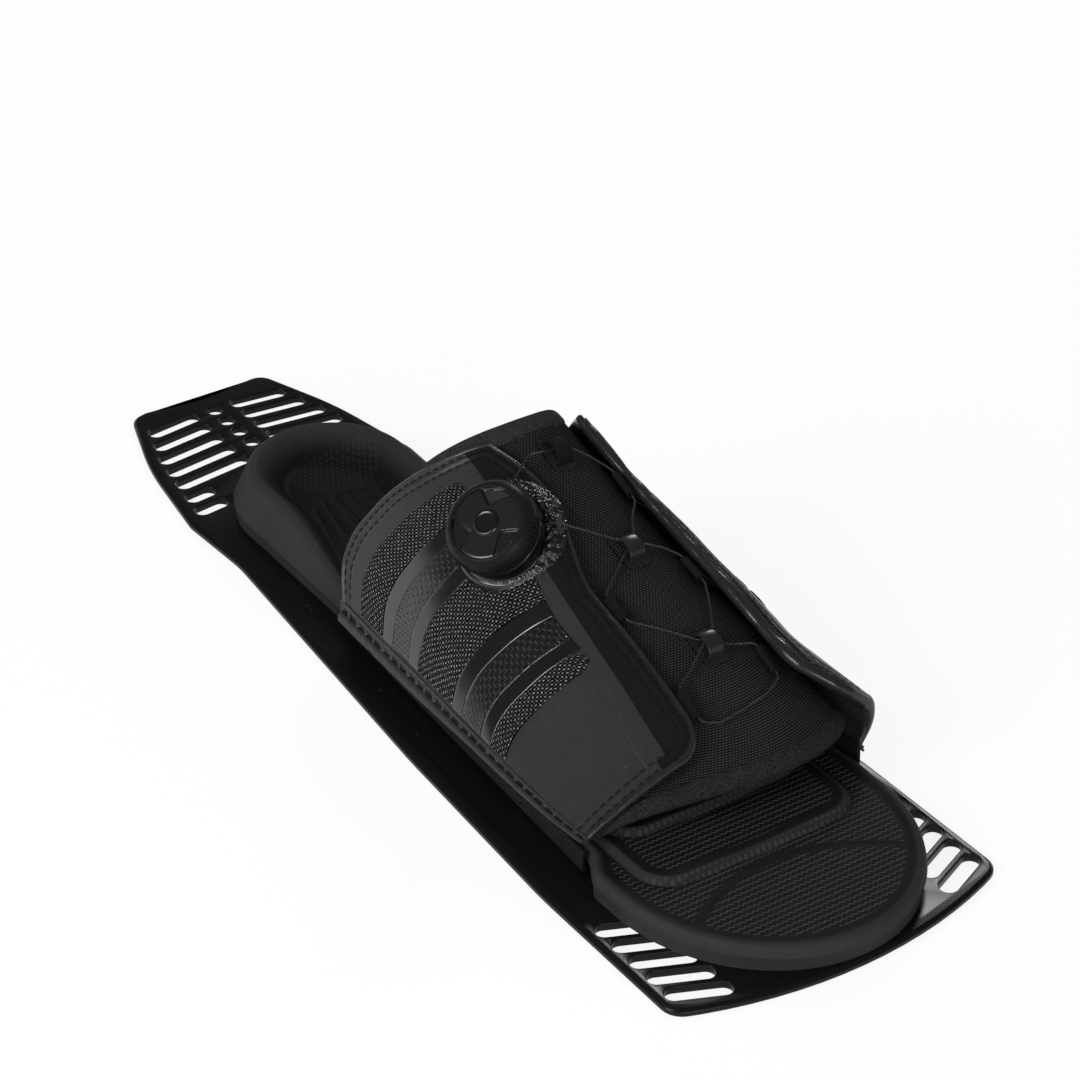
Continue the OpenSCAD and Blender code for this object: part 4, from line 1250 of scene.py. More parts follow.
@dataclass
class Flap:
    """One flap of the upper with its hem, trim and stitches."""

    side: Side
    upper: Upper
    front: float
    corner: float
    corner_share: float
    widths: Sequence[float]
    rows: Sequence[float] = (2.7, 6.0)
    pitch: float = 3.5
    rear_line: Sequence[Sequence[float]] = (
        (0.0, 0.02, 0.05, 0.09, 0.166, 0.268, 0.39), (-32.0, -36.0, -41.0, -40.0, -30.2, -15.2, 1.0))
    right_reach: float = 0.362
    left_reach: float = 0.655
    rim_width: float = 1.7
    trim_u: Sequence[float] = (0.045, 0.73)
    mesh_v: Sequence[Sequence[float]] = ((0.092, 0.188), (0.337, 0.478), (0.637, 0.692))
    gloss_v: Sequence[Sequence[float]] = ((0.189, 0.231), (0.297, 0.336), (0.479, 0.521), (0.597, 0.636))
    pressed_v: Sequence[Sequence[float]] = ((0.231, 0.297), (0.521, 0.597))
    band_x: Sequence[float] = (46.0, 124.5)
    band_low: Sequence[Sequence[float]] = ((45.0, 83.0, 117.0), (0.288, 0.268, 0.218))
    band_high: Sequence[Sequence[float]] = ((0.0, 45.0, 83.0, 124.0), (0.324, 0.314, 0.289, 0.268))
    left_band: Sequence[Sequence[float]] = ((0.80, 0.90), (0.30, 0.97))

    @property
    def right(self) -> bool:
        """Whether this is the right flap."""
        return self.side is Side.RIGHT

    def width(self, x: Array) -> Array:
        """Length from hem to lacing edge at a station."""
        return np.interp(x, (-20.0, 128.0), self.widths)

    def rear(self, u: Array) -> Array:
        """Station of the rear edge.

        Args:
            u: Share from hem to lacing edge.

        Returns:
            Stations.
        """
        if not self.right:
            return self.upper.flap_rear(mix(1.0, self.left_reach, u))
        t, step = u * self.right_reach, 0.012
        blend = ((-1, 0.25), (0, 0.5), (1, 0.25))
        return sum(share * np.interp(t + k * step, *self.rear_line) for k, share in blend)

    def lead(self, u: Array) -> Array:
        """Station of the front edge, drawn back round its corner."""
        q = np.clip(1.0 - (1.0 - u) / self.corner_share, 0.0, 1.0)
        return self.front - self.corner * (1.0 - np.sqrt(1.0 - q * q))

    def reach(self, x: Array) -> Array:
        """Share of the arch at the right lacing edge, wider at the dial."""
        return self.right_reach + 0.06 * swell(x, 24.0, 42.0)

    def share(self, x: Array, u: Array) -> Array:
        """Share v of a station between the rear and front edges."""
        return (x - self.rear(u)) / (self.lead(u) - self.rear(u))

    def spot(self, u: Array, v: Array) -> tuple[Array, Array]:
        """Station and share of the arch, for u from hem to lacing edge and v from rear to front."""
        x = mix(self.rear(u), self.lead(u), v)
        return x, u * self.reach(x) if self.right else mix(1.0, self.left_reach, u)

    def lifts(self, x: Array, t: Array) -> tuple[Array, Array]:
        """How far the inner and the outer face stand off the tongue.

        Args:
            x: Station.
            t: Share round the arch.

        Returns:
            Lift of the inner and of the outer face.
        """
        if self.right:
            lift = 2.5 * ease((t - 0.08) / 0.282)
            return lift, lift
        fill = ease((0.985 - t) / 0.13)
        lift = 3.5 * ease(1.0 - (t - self.left_reach) / 0.2) + 5.6 * fill * ease((x - 98.0) / 36.0)
        return lift, lift + 3.0 * fill * ease((x - 10.0) / 45.0)

    def place(self, u: Array, v: Array, d: Array) -> Array:
        """Place on the outer face, d out of the upper's lining."""
        x, t = self.spot(u, v)
        return self.upper.point(x, t, d + self.lifts(x, t)[1])

    def gap(self, u: Array, v: Array) -> Array:
        """Distance to the nearest of the rear, lacing and front edges in millimetres.

        Args:
            u: Share from hem to lacing edge.
            v: Share from rear to front.

        Returns:
            Distances.
        """
        x, _ = self.spot(u, v)
        width = self.width(x)
        a = (x - self.front + self.corner) / self.corner
        b = 1.0 - (1.0 - u) / self.corner_share
        bent = (1.0 - np.hypot(a, b)) * (self.corner + self.corner_share * width) / 2.0
        square = np.minimum((1.0 - u) * width, self.front - x)
        return np.minimum(np.where((a > 0.0) & (b > 0.0), bent, square), x - self.rear(u))

    def relief(self, u: Array, v: Array) -> Array:
        """Sewn rows, a folded rim and slack in the outer face.

        Args:
            u: Share from hem to lacing edge.
            v: Share from rear to front.

        Returns:
            Heights out of the lining.
        """
        gap = self.gap(u, v)
        flat = np.stack([u * 66.0, v * 140.0, 0 * u], axis=1)
        d = self.upper.flap_outer + 0.4 * ridge(gap - 1.3, 1.1)
        for row in self.rows:
            d = d - 0.4 * ridge(gap - row, 0.75)
        gather = 0.16 * rumple(flat, 2.6, 4.0) * ridge(gap - 3.0, 3.0)
        return d + gather + 0.2 * rumple(flat, 17.0) + 0.08 * rumple(flat, 6.0, 9.0)

    def skins(self, u: Array, v: Array) -> tuple[Array, Array, Array, Array]:
        """Station, share of the arch, and height of the outer and inner faces, which meet at the edges.

        Args:
            u: Share from hem to lacing edge.
            v: Share from rear to front.

        Returns:
            Those four values for each place.
        """
        x, t = self.spot(u, v)
        lining, outer = self.lifts(x, t)
        low, high = self.upper.flap_inner + lining, self.upper.flap_outer + outer
        middle, half = (low + high) / 2.0, (high - low) / 2.0
        gap = np.minimum(self.gap(u, v), u * self.width(x))
        close = np.sqrt(1.0 - (1.0 - np.clip(gap / half, 0.0, 1.0)) ** 2)
        return x, t, middle + close * (self.relief(u, v) + outer - middle), middle - close * half

    def panel(self, u: Array, v: Array) -> Array:
        """2 on the rim, 1 on the lacing panel beyond the band, else 0.

        Args:
            u: Share from hem to lacing edge.
            v: Share from rear to front.

        Returns:
            Number of the material.
        """
        x, t = self.spot(u, v)
        if self.right:
            line = np.interp(x, *self.band_high)
            under = (line + np.interp(x, *self.band_low)) / 2.0
            beyond = t > np.where(x < self.band_x[0], line, under)
        else:
            beyond = (u > np.mean(self.left_band[0])) & (v > self.left_band[1][0])
        return np.where(self.gap(u, v) < self.rim_width, 2, beyond)

    @staticmethod
    def crowd(u: Array, v: Array) -> tuple[Array, Array]:
        """Grid lines drawn together towards the edges."""
        return 1.0 - (1.0 - u) ** 1.5, mix(v, 0.5 - 0.5 * np.cos(math.pi * v), 0.6)

    def body(self, finishes: Finishes, dial: Optional[Dial]) -> Piece:
        """The flap itself, with a hole for the dial if it carries one.

        Args:
            finishes: Materials.
            dial: The dial, on the flap that carries it.

        Returns:
            The closed flap.
        """
        def outer(u: Array, v: Array, d: Array) -> Array:
            """The outer face."""
            x, t, high, _ = self.skins(*self.crowd(u, v))
            return self.upper.point(x, t, high + d)

        def inner(u: Array, v: Array, d: Array) -> Array:
            """The inner face."""
            x, t, _, low = self.skins(*self.crowd(u, v))
            return self.upper.point(x, t, low + d)

        def zone(u: Array, v: Array) -> Array:
            """The lacing panel."""
            return self.panel(*self.crowd(u, v))

        obj = Bench.shell(self.side.value + "_flap_skin", (120, 200), outer, inner, zone,
                          (finishes.leather, finishes.panel, finishes.rim), (finishes.rim,))
        if dial:
            Bench.cut(obj, dial.drill(dial.flange_r + 0.25))
            Bench.smooth(obj, 50.0)
        return obj

    def spread(self, name: str, us: Sequence[float], vs: Sequence[float], d: float,
               cells: tuple[int, int], puff: float = 0.0, top: float = 0.0) -> Piece:
        """A patch of trim on the flap.

        Args:
            name: Name of the piece.
            us: Its span from hem to lacing edge.
            vs: Its span from rear to front.
            d: Distance of its outer face out of the flap's.
            cells: Cells along each span.
            puff: Rise of its middle.
            top: Share of the flap over which its upper end is rounded.

        Returns:
            The patch.
        """
        middle, half = (vs[0] + vs[1]) / 2.0, (vs[1] - vs[0]) / 2.0

        def face(u: Array, v: Array, out: Array) -> Array:
            """The patch's outer face.

            Args:
                u: Share along the patch.
                v: Share across it.
                out: Distance out.

            Returns:
                Places in millimetres.
            """
            a = mix(us[0], us[1], u)
            narrow = np.clip((a - us[1] + top) / max(top, 1e-6), 0.0, 1.0) if top else 0.0
            b = middle + half * np.sqrt(1.0 - 0.97 * narrow**2) * (2.0 * v - 1.0)
            return self.place(a, b, self.relief(a, b) + d + out)

        def rise(u: Array, v: Array) -> Array:
            """A soft crown."""
            return puff * (1 - (2 * u - 1) ** 8) * (1 - (2 * v - 1) ** 4)

        obj = Bench.sheet(name, cells[0], cells[1], face, rise)
        Bench.thicken(obj, 0.6, 0.18, 2)
        return obj

    def trim(self, name: str, parts: Sequence[Piece], dial: Optional[Dial]) -> Piece:
        """Patches of one kind of trim as one piece, cut out round the dial.

        Args:
            name: Kind of trim.
            parts: Its patches.
            dial: The dial, on the flap that carries it.

        Returns:
            The trim.
        """
        obj = Bench.join(self.side.value + "_" + name, parts)
        if dial:
            Bench.cut(obj, dial.drill(dial.flange_r + 1.0))
            Bench.smooth(obj)
        return obj

    def band(self) -> Piece:
        """The grey band along the lacing panel.

        Returns:
            The band.
        """
        if not self.right:
            return self.spread("band_strip", *self.left_band, 0.12, (10, 80))

        def face(u: Array, v: Array, out: Array) -> Array:
            """A straight strip from the dial to the front edge.

            Args:
                u: Share across the band.
                v: Share along it.
                out: Distance out.

            Returns:
                Places in millimetres.
            """
            x = mix(self.band_x[0], self.band_x[1], v)
            t = mix(np.interp(x, *self.band_low), np.interp(x, *self.band_high), u)
            a = t / self.reach(x)
            b = self.share(x, a)
            return self.place(a, b, self.relief(a, b) + 0.12 + out)

        obj = Bench.sheet("band_strip", 10, 90, face)
        Bench.thicken(obj, 0.6, 0.2, 2)
        return obj

    def hem(self, finishes: Finishes) -> Piece:
        """The gathered roll along the lower edge, with slits over it.

        Args:
            finishes: Materials.

        Returns:
            The hem.
        """
        def slits(u: Array, v: Array) -> Array:
            """1 in a slit, else 0."""
            beat = np.abs((v * 27.0) % 1.0 - 0.5)
            return ridge(u - 0.62, 0.13) * ease((0.38 - beat) / 0.05)

        def face(u: Array, v: Array, d: Array) -> Array:
            """The strip's outer face."""
            return self.place(mix(-0.026, 0.033, u), v, d)

        def rolls(u: Array, v: Array) -> Array:
            """A round roll below, a row of slits and a flat margin above.

            Args:
                u: Share across the strip.
                v: Share along it.

            Returns:
                Heights out of the lining.
            """
            roll = 0.75 * np.sqrt(np.clip(1.0 - ((u - 0.22) / 0.3) ** 2, 0.0, 1.0))
            flat = np.stack([u * 5.0, v * 160.0, 0 * u], axis=1)
            waver = 0.16 * rumple(flat, 5.0) + 0.12 * rumple(flat, 1.8, 3.0)
            return self.upper.flap_outer + 0.45 + roll - 0.8 * slits(u, v) + waver

        def zone(u: Array, v: Array) -> Array:
            """Painted shade: the faces in a slit take the dark knit finish, for the shade in the slit."""
            return slits(u, v) > 0.35

        # The dark knit finish on the slit faces is painted shade.
        obj = Bench.sheet(self.side.value + "_hem_strip", 30, 360, face, rolls, zone,
                          (finishes.leather, finishes.knit))
        Bench.thicken(obj, 0.9)
        return obj

    def row(self, inset: float, low: float = 0.05) -> tuple[Array, Array]:
        """A line at a distance inside the rear, lacing and front edges.

        Args:
            inset: Distance from the edge in millimetres.
            low: Share u where it starts and ends at the hem.

        Returns:
            Shares u and v along it.
        """
        steps = np.linspace(0.0, 1.0, 80)
        hinge = self.front - self.corner
        turn = math.pi / 2.0 * (1.0 - steps)
        rear_u = mix(low, 1.0 - inset / self.width(5.0), steps)
        rear_x = self.rear(rear_u) + inset
        lace_x = mix(rear_x[-1], hinge, steps)
        bend_u = 1.0 - self.corner_share + (self.corner_share - inset / self.width(hinge)) * np.sin(turn)
        u = np.concatenate([rear_u, 1.0 - inset / self.width(lace_x[1:]), bend_u[1:],
                            mix(bend_u[-1], low, steps[1:])])
        x = np.concatenate([rear_x, lace_x[1:], hinge + (self.corner - inset) * np.cos(turn[1:]),
                            np.full(len(steps) - 1, self.front - inset)])
        return u, np.clip(self.share(x, u), 0.0, 1.0)

    def edge_roll(self) -> Piece:
        """The wrinkled roll of leather along the left lacing edge.

        Returns:
            The roll.
        """
        u, v = self.row(1.2)
        x, t, high, low = self.skins(u, v)
        line = self.upper.point(x, t, (high + low) / 2.0)
        first, last = 80, 240
        run = lengths(line)
        fine = along(np.linspace(run[first], run[last], 330), run, line)
        relax(fine, 4)
        folds = 2.1 + 0.55 * rumple(fine, 15.0) + 0.25 * rumple(fine, 5.7, 5.0)
        return Bench.tube("left_edge_roll", fine, folds, 16)

    def stitches(self, dial: Optional[Dial]) -> Piece:
        """Thread along the rear, lacing and front edges.

        Args:
            dial: The dial, on the flap that carries it.

        Returns:
            Every stitch, as one piece.
        """
        places, frames = [], []
        for inset in self.rows:
            u, v = self.row(inset)
            d = self.relief(u, v) + 0.12
            points = self.place(u, v, d)
            run = lengths(points)
            at = np.arange(self.pitch / 2.0, run[-1], self.pitch)
            way = unit(along(at + 0.5, run, points) - along(at - 0.5, run, points))
            across = unit(np.cross(along(at, run, self.place(u, v, d + 1.0) - points), way))
            places.append(along(at, run, points))
            frames.append(np.stack([way, across, np.cross(way, across)], axis=1))
        middles, axes = np.concatenate(places), np.concatenate(frames)
        if dial:
            away = dial.into(middles)
            free = np.hypot(away[:, 0], away[:, 1]) > 22.5
            middles, axes = middles[free], axes[free]
        return Bench.scatter(self.side.value + "_stitches", middles, axes, (1.3, 0.34, 0.3))

    def dress(self, finishes: Finishes, dial: Optional[Dial]) -> None:
        """Builds the flap's pieces.

        Args:
            finishes: Materials.
            dial: The dial, on the flap that carries it.
        """
        side = self.side.value
        low, high = self.trim_u
        mesh = [self.spread(f"mesh_{i}", (low, high), vs, 0.55, (70, 18), 0.3, 0.12 * (i == 2))
                for i, vs in enumerate(self.mesh_v)]
        gloss = [self.spread(f"gloss_{i}", (low, high), vs, 0.5, (70, 8)) for i, vs in enumerate(self.gloss_v)]
        pressed = [self.spread(f"pressed_{i}", (low, high), vs, 0.4, (70, 12))
                   for i, vs in enumerate(self.pressed_v)]
        sewn = [
            Bench.settle(self.trim("mesh_insets", mesh, dial), finishes.mesh, "flap_mesh",
                         (side + "_flap_mesh",)),
            Bench.settle(self.trim("gloss_stripes", gloss, dial), finishes.gloss, "flap_stripe",
                         (side + "_flap_stripes",)),
            Bench.settle(self.trim("pressed_stripes", pressed, dial), finishes.carbon, "flap_stripe",
                         (side + "_flap_stripes",)),
            Bench.settle(self.trim("band", [self.band()], dial), finishes.leather, "edge_band",
                         (side + "_edge_band",)),
            Bench.settle(self.hem(finishes), finishes.leather, "hem", (side + "_hem",)),
            Bench.settle(self.stitches(dial), finishes.thread, "flap_leather"),
        ]
        if not self.right:
            sewn.append(Bench.settle(self.edge_roll(), finishes.rim, "flap_leather"))
        skin = Bench.settle(self.body(finishes, dial), finishes.leather, "flap_leather", (side + "_flap",))
        Bench.cloth(skin, "stretched", ("tongue_skin",), sewn)


@dataclass
class Tongue:
    """The arched tongue with its bound edges."""

    upper: Upper

    def skin(self) -> Piece:
        """The tongue's sheet.

        Returns:
            The sheet with its thickness.
        """
        def face(u: Array, v: Array, d: Array) -> Array:
            """Place on the tongue."""
            return self.upper.point(mix(self.upper.tongue_rear(u), self.upper.tongue_front(u), v), u, d)

        def slack(u: Array, v: Array) -> Array:
            """Outer face with a little slack, never over the layer above."""
            flat = np.stack([u * 150.0, v * 150.0, 0 * u], axis=1)
            return self.upper.tongue_thickness - 0.12 + 0.12 * rumple(flat, 14.0)

        obj = Bench.sheet("tongue_skin", 130, 130, face, slack)
        Bench.thicken(obj, 2.8, 0.6, 2)
        return obj

    def binding(self, name: str, edge: Callable[[Array], Array], way: float,
                reach: Sequence[float], thick: float, seam: float) -> Piece:
        """A rolled binding over an edge.

        Args:
            name: Name of the piece.
            edge: Station of the edge for t.
            way: 1 at the front edge, -1 at the rear edge.
            reach: How far it reaches in from the edge and out of it.
            thick: Half thickness where it lies free.
            seam: Depth of the seam line.

        Returns:
            The closed roll.
        """
        def face(u: Array, v: Array, d: Array) -> Array:
            """A flat oval carried along the edge.

            Args:
                u: Share of a turn.
                v: Share along the edge.
                d: Distance out.

            Returns:
                Places in millimetres.
            """
            t = mix(0.012, 0.988, v)
            a = 2 * math.pi * u
            end = (1.0 - np.clip(np.abs(2 * v - 1), 0, 1) ** 60) ** 0.5
            open_share = ease((self.upper.arch(t) - 0.3) / 0.35)
            rise = mix(1.55, thick, open_share)
            bulge = np.abs(np.cos(a)) ** 0.7 * np.sign(np.cos(a))
            x = edge(t) + way * ((reach[1] - reach[0]) / 2.0 + (reach[0] + reach[1]) / 2.0 * bulge * end)
            fold = 0.12 * rumple(np.stack([x * 1.0, t * 150.0, np.sin(a)], axis=1), 3.0) * open_share
            out = self.upper.tongue_thickness / 2.0 + ((rise + fold) * np.sin(a) + d) * end
            line = np.where(np.sin(a) > 0, ridge(bulge + 0.6, 0.14), 0.0)
            return self.upper.point(x, t, out - seam * line * end)

        obj = Bench.sheet(name, 40, 200, face)
        Bench.weld(obj)
        Bench.face_out(obj)
        Bench.smooth(obj, 70.0)
        return obj

    def dress(self, finishes: Finishes) -> None:
        """Builds the tongue's pieces.

        Args:
            finishes: Materials.
        """
        skin = Bench.settle(self.skin(), finishes.tongue, "tongue_fabric", ("tongue",))
        rolls = [
            Bench.settle(self.binding("front_roll", self.upper.tongue_front, 1.0, (2.6, 4.0), 2.3, 0.25),
                         finishes.velour, "velour", ("tongue_front_binding",)),
            Bench.settle(self.binding("rear_roll", self.upper.tongue_rear, -1.0, (5.0, 4.0), 2.1, 0.45),
                         finishes.tape, "binding", ("tongue_rear_binding",)),
        ]
        Bench.cloth(skin, "stretched", ("footbed_pad",), rolls)


@dataclass
class Skirt:
    """A knit wall from the plate to a hem, with its margin turned in."""

    side: Side
    upper: Upper

    def wall(self) -> Piece:
        """The skirt's sheet.

        Returns:
            The sheet with its thickness.
        """
        sign = -1.0 if self.side is Side.RIGHT else 1.0
        hem = self.upper.right_hem if self.side is Side.RIGHT else self.upper.left_hem
        first, last = hem[0]
        turn = (0.0, 0.42, 0.5, 1.0)

        def face(u: Array, v: Array, d: Array) -> Array:
            """Margin, fold and wall.

            Args:
                u: Share from margin to hem.
                v: Share from rear to front.
                d: Distance out.

            Returns:
                Places in millimetres.
            """
            x = mix(first, last, v)
            out = sign * np.interp(x, *hem) + 2.55
            inwards = np.interp(u, turn, (13.0, 1.2, 0.0, 0.0))
            z = np.interp(u, turn, (4.55, 4.55, 5.4, 13.4 if sign < 0 else 15.4))
            wave = 0.25 * np.sin(math.pi * np.clip((u - 0.45) / 0.55, 0, 1))
            bend = ease((u - 0.4) / 0.12)
            return np.stack([x, sign * (out - inwards + bend * (wave + d)), z + (1.0 - bend) * d], axis=1)

        obj = Bench.sheet(self.side.value + "_skirt_knit", 40, 110, face)
        Bench.thicken(obj, 1.4, 0.4, 2)
        return obj

    def dress(self, finishes: Finishes) -> None:
        """Builds the skirt."""
        wall = Bench.settle(self.wall(), finishes.knit, "knit", (self.side.value + "_skirt",))
        Bench.cloth(wall, "stretched", ("plate_body",))


@dataclass
class Footbed:
    """The moulded footbed with its heel cup, steps, wave ridges and grooves."""

    heel_x: float = -150.0
    toe_x: float = 212.0
    spine: tuple[float, float] = (-112.0, 150.0)
    floor_z: float = 12.1
    rim_height: float = 12.5
    heel_rise: float = 9.5
    brim_z: float = 8.05
    foot_z: float = 3.05
    undercut_z: float = 7.65
    step_rise: float = 2.25
    steps: Sequence[Sequence[float]] = ((159.0, 43.0), (133.0, 40.0))
    step_rear: float = 66.0
    step_bow: float = 1.5
    step_corner: float = 13.0
    fingers: int = 8

    def mid(self, x: Array) -> Array:
        """Y of the middle line."""
        return np.interp(x, (-60.0, 60.0, 150.0), (1.0, 2.0, 2.5))

    def half(self, sign: float, x: Array) -> Array:
        """Half width on one side before the ends are drawn in.

        Args:
            sign: -1 on the right, 1 on the left.
            x: Station.

        Returns:
            Half widths.
        """
        right = ((-112, -48, -34, 132, 136, 170), (36.0, 37.0, 38.3, 48.3, 54.0, 54.0))
        left = ((-112, -48, -34, 139, 143, 170), (38.0, 39.0, 42.3, 57.3, 57.0, 57.0))
        table = right if sign < 0 else left
        return sum(np.interp(x + k * 2.0, *table) for k in range(-2, 3)) / 5.0

    def side(self, sign: float, x: Array) -> Array:
        """Y of the outline on one side.

        Args:
            sign: -1 on the right, 1 on the left.
            x: Station.

        Returns:
            Y at each station.
        """
        heel = np.clip((self.spine[0] - x) / (self.spine[0] - self.heel_x), 0.0, 1.0)
        toe = np.clip((x - self.spine[1]) / (self.toe_x - self.spine[1]), 0.0, 1.0)
        share = np.sqrt(1.0 - np.maximum(heel, toe) ** 2)
        return mix(self.mid(x), sign * self.half(sign, x), share)

    def stations(self) -> Array:
        """Stations along the footbed, close together where it shows.

        Returns:
            Stations from heel to toe.
        """
        quarter = math.pi / 2.0
        heel = self.heel_x + 120.0 * (1.0 - np.cos(quarter * np.linspace(0, 1, 110)))
        toe = 116.0 + (self.toe_x - 116.0) * np.sin(quarter * np.linspace(0, 1, 190))
        return np.concatenate([heel, np.linspace(-30.0, 116.0, 36)[1:-1], toe])

    def edge_distance(self, points: Array) -> Array:
        """Distance of each plan place from the outline.

        Args:
            points: Plan places, one row each.

        Returns:
            Distances.
        """
        x = self.stations()
        line = np.concatenate([np.stack([x, self.side(s, x)], axis=1)[::s] for s in (1, -1)])
        a, b = line, np.roll(line, -1, axis=0)
        run = b - a
        square = np.maximum(np.sum(run * run, axis=1), 1e-9)
        found = []
        for block in np.array_split(points, 40):
            away = block[:, None, :] - a[None]
            share = np.clip(np.sum(away * run[None], axis=2) / square, 0.0, 1.0)
            found.append(np.sqrt(np.min(np.sum((away - share[..., None] * run[None]) ** 2, axis=2), axis=1)))
        return np.concatenate(found)

    def groove(self, y: Array) -> Array:
        """Station of the curved groove across the toe."""
        return 164.5 + 20.0 * ((y + 3.0) / 45.0) ** 2

    def heel_share(self, x: Array) -> Array:
        """1 in the heel cup, 0 in front of it."""
        return ease((-25.0 - x) / 80.0)

    def profile(self, x: Array, d: Array) -> Array:
        """Height of the bare top at a distance from the outline.

        Args:
            x: Station.
            d: Distance from the outline.

        Returns:
            Heights.
        """
        h = self.heel_share(x)
        rim = self.rim_height + self.heel_rise * h
        base = np.full_like(x, self.floor_z)
        ds = [0 * x, mix(0.6, 3.5, h), mix(1.4, 5.5, h), mix(2.8, 8.0, h), mix(4.0, 10.0, h),
              mix(5.0, 16.0, h), mix(7.0, 21.0, h), 0 * x + 90.0]
        zs = [0 * x + self.brim_z, mix(8.45, rim, 0.55), rim - mix(0.7, 1.6, h), rim,
              rim - mix(0.1, 0.9, h), mix(base, rim, 0.35), base, base - 0.3 * h]
        slopes = [(b - a) / (q - p) for a, b, p, q in zip(zs, zs[1:], ds, ds[1:])]
        bends = [slopes[0]] + [(a + b) / 2.0 for a, b in zip(slopes, slopes[1:])] + [0 * x]
        bends[3], bends[6] = 0 * x, 0 * x
        z = zs[0].copy()
        for k in range(len(ds) - 1):
            gap = ds[k + 1] - ds[k]
            s = np.clip((d - ds[k]) / gap, 0.0, 1.0)
            curve = (zs[k] * (1 + 2 * s) * (1 - s) ** 2 + zs[k + 1] * s * s * (3 - 2 * s)
                     + gap * (bends[k] * s * (1 - s) ** 2 - bends[k + 1] * s * s * (1 - s)))
            z = np.where(d >= ds[k], curve, z)
        return z

    def step_edge(self, x: Array, y: Array, front: float, half: float) -> Array:
        """Distance outside a step's rounded outline; less than 0 on the step.

        Args:
            x: Station.
            y: Place across.
            front: Station of the step's front.
            half: Its half width.

        Returns:
            Distances.
        """
        r = self.step_corner
        lead = front + self.step_bow * (1.0 - np.clip(np.abs(y) / half, 0.0, 1.0))
        middle = (self.step_rear + lead) / 2.0
        a = np.abs(x - middle) - (lead - middle) + r
        b = np.abs(y) - half + r
        return np.hypot(np.maximum(a, 0), np.maximum(b, 0)) + np.minimum(np.maximum(a, b), 0.0) - r

    def marks(self, x: Array, y: Array, d: Array) -> tuple[Array, Array, Array]:
        """Where the wave ridges, the honeycomb and the painted highlight of the bare rim and the step edges are,
        from 0 to 1.

        Args:
            x: Station.
            y: Place across.
            d: Distance from the outline.

        Returns:
            Shares of ridges, cells and the painted highlight of rim and step edges.
        """
        tread = ease((np.abs(x - self.groove(y)) - 1.8) / 0.6) * ease((d - 6.4) / 0.8) * ease((x - 116.0) / 4.0)
        comb = 0.5 * ease((1.12 - np.hypot((x + 119.0) / 11.0, (y - 8.0) / 17.0)) / 0.12)
        wear_and_edge_highlight = np.zeros_like(x)
        for front, half in self.steps:
            edge = self.step_edge(x, y, front, half)
            tread = tread * (1.0 - ease((edge + 6.6) / 0.8) * ease((1.2 - edge) / 0.8))
            slope = ease((edge + 2.6) / 0.6) * ease((0.6 - edge) / 0.6) * ease((x - front + 9.0) / 3.0)
            comb = np.maximum(comb, slope)
            # Painted highlight: a band round each step's edge is marked to be painted paler.
            wear_and_edge_highlight = np.maximum(wear_and_edge_highlight, ease((edge + 3.2) / 1.2) * ease((0.4 - edge) / 0.4))
        heel = self.heel_share(x)
        # Painted highlight: the bare rim and the step edges are painted paler in the foam's colour.
        rim = np.maximum(0.7 * wear_and_edge_highlight, ease((mix(5.0, 18.0, heel) - d) / mix(4.0, 8.0, heel)))
        return tread, comb, rim

    def finger_lines(self, x: Array, y: Array, d: Array) -> Array:
        """Grooves round the heel floor's fingers, from 0 to 1.

        Args:
            x: Station.
            y: Place across.
            d: Distance from the outline.

        Returns:
            Depth as a share.
        """
        found = np.zeros_like(x)
        for k in range(self.fingers):
            turn = k - (self.fingers - 1) / 2.0
            start = np.array([-104.0 + 0.8 * turn * turn, 3.0 + 5.6 * turn])
            way = np.array([1.0, 0.11 * turn]) / math.hypot(1.0, 0.11 * turn)
            far = np.clip((x - start[0]) * way[0] + (y - start[1]) * way[1], 0.0, 46.0)
            away = np.hypot(x - start[0] - far * way[0], y - start[1] - far * way[1])
            found = np.maximum(found, ridge(away - 2.5 - 0.012 * far, 0.55))
        return found * ease((d - 19.0) / 3.0)

    def detail(self, x: Array, y: Array, d: Array) -> Array:
        """Steps and grooves.

        Args:
            x: Station.
            y: Place across.
            d: Distance from the outline.

        Returns:
            Heights over the bare top.
        """
        z = np.zeros_like(x)
        for front, half in self.steps:
            climb = np.clip(-self.step_edge(x, y, front, half) / 2.0, 0.0, 1.0)
            z = z + self.step_rise * (climb - np.sin(2 * math.pi * climb) / 14.0)
        z = z - 0.25 * ridge(x - self.groove(y), 0.5) * ease((d - 9.0) / 2.0)
        return z - 0.45 * self.finger_lines(x, y, d)

    def paint(self, obj: Piece) -> None:
        """Writes where the finish has its ridges and cells, and where its painted highlight on rims and step
        edges lies, to the mesh.

        Args:
            obj: The footbed.
        """
        points = Bench.places(obj)
        away = self.edge_distance(points[:, :2])
        for name, values in zip(("tread", "comb", "rim"), self.marks(points[:, 0], points[:, 1], away)):
            layer = obj.data.attributes.new(name, "FLOAT", "POINT")
            layer.data.foreach_set("value", values)

    def body(self) -> Piece:
        """The whole footbed as one closed form.

        Returns:
            The footbed.
        """
        stations = self.stations()

        def face(u: Array, v: Array, d: Array) -> Array:
            """The top, from the outline inwards.

            Args:
                u: Share from heel to toe.
                v: Share across.
                d: Distance up.

            Returns:
                Places in millimetres.
            """
            x = np.interp(u, np.linspace(0, 1, len(stations)), stations)
            across = mix(v, 0.5 - 0.5 * np.cos(math.pi * v), 0.4)
            y = mix(self.side(-1.0, x), self.side(1.0, x), across)
            away = self.edge_distance(np.stack([x, y], axis=1))
            away = np.where((v < 1e-4) | (v > 1 - 1e-4), 0.0, away)
            return np.stack([x, y, self.profile(x, away) + self.detail(x, y, away) + d], axis=1)

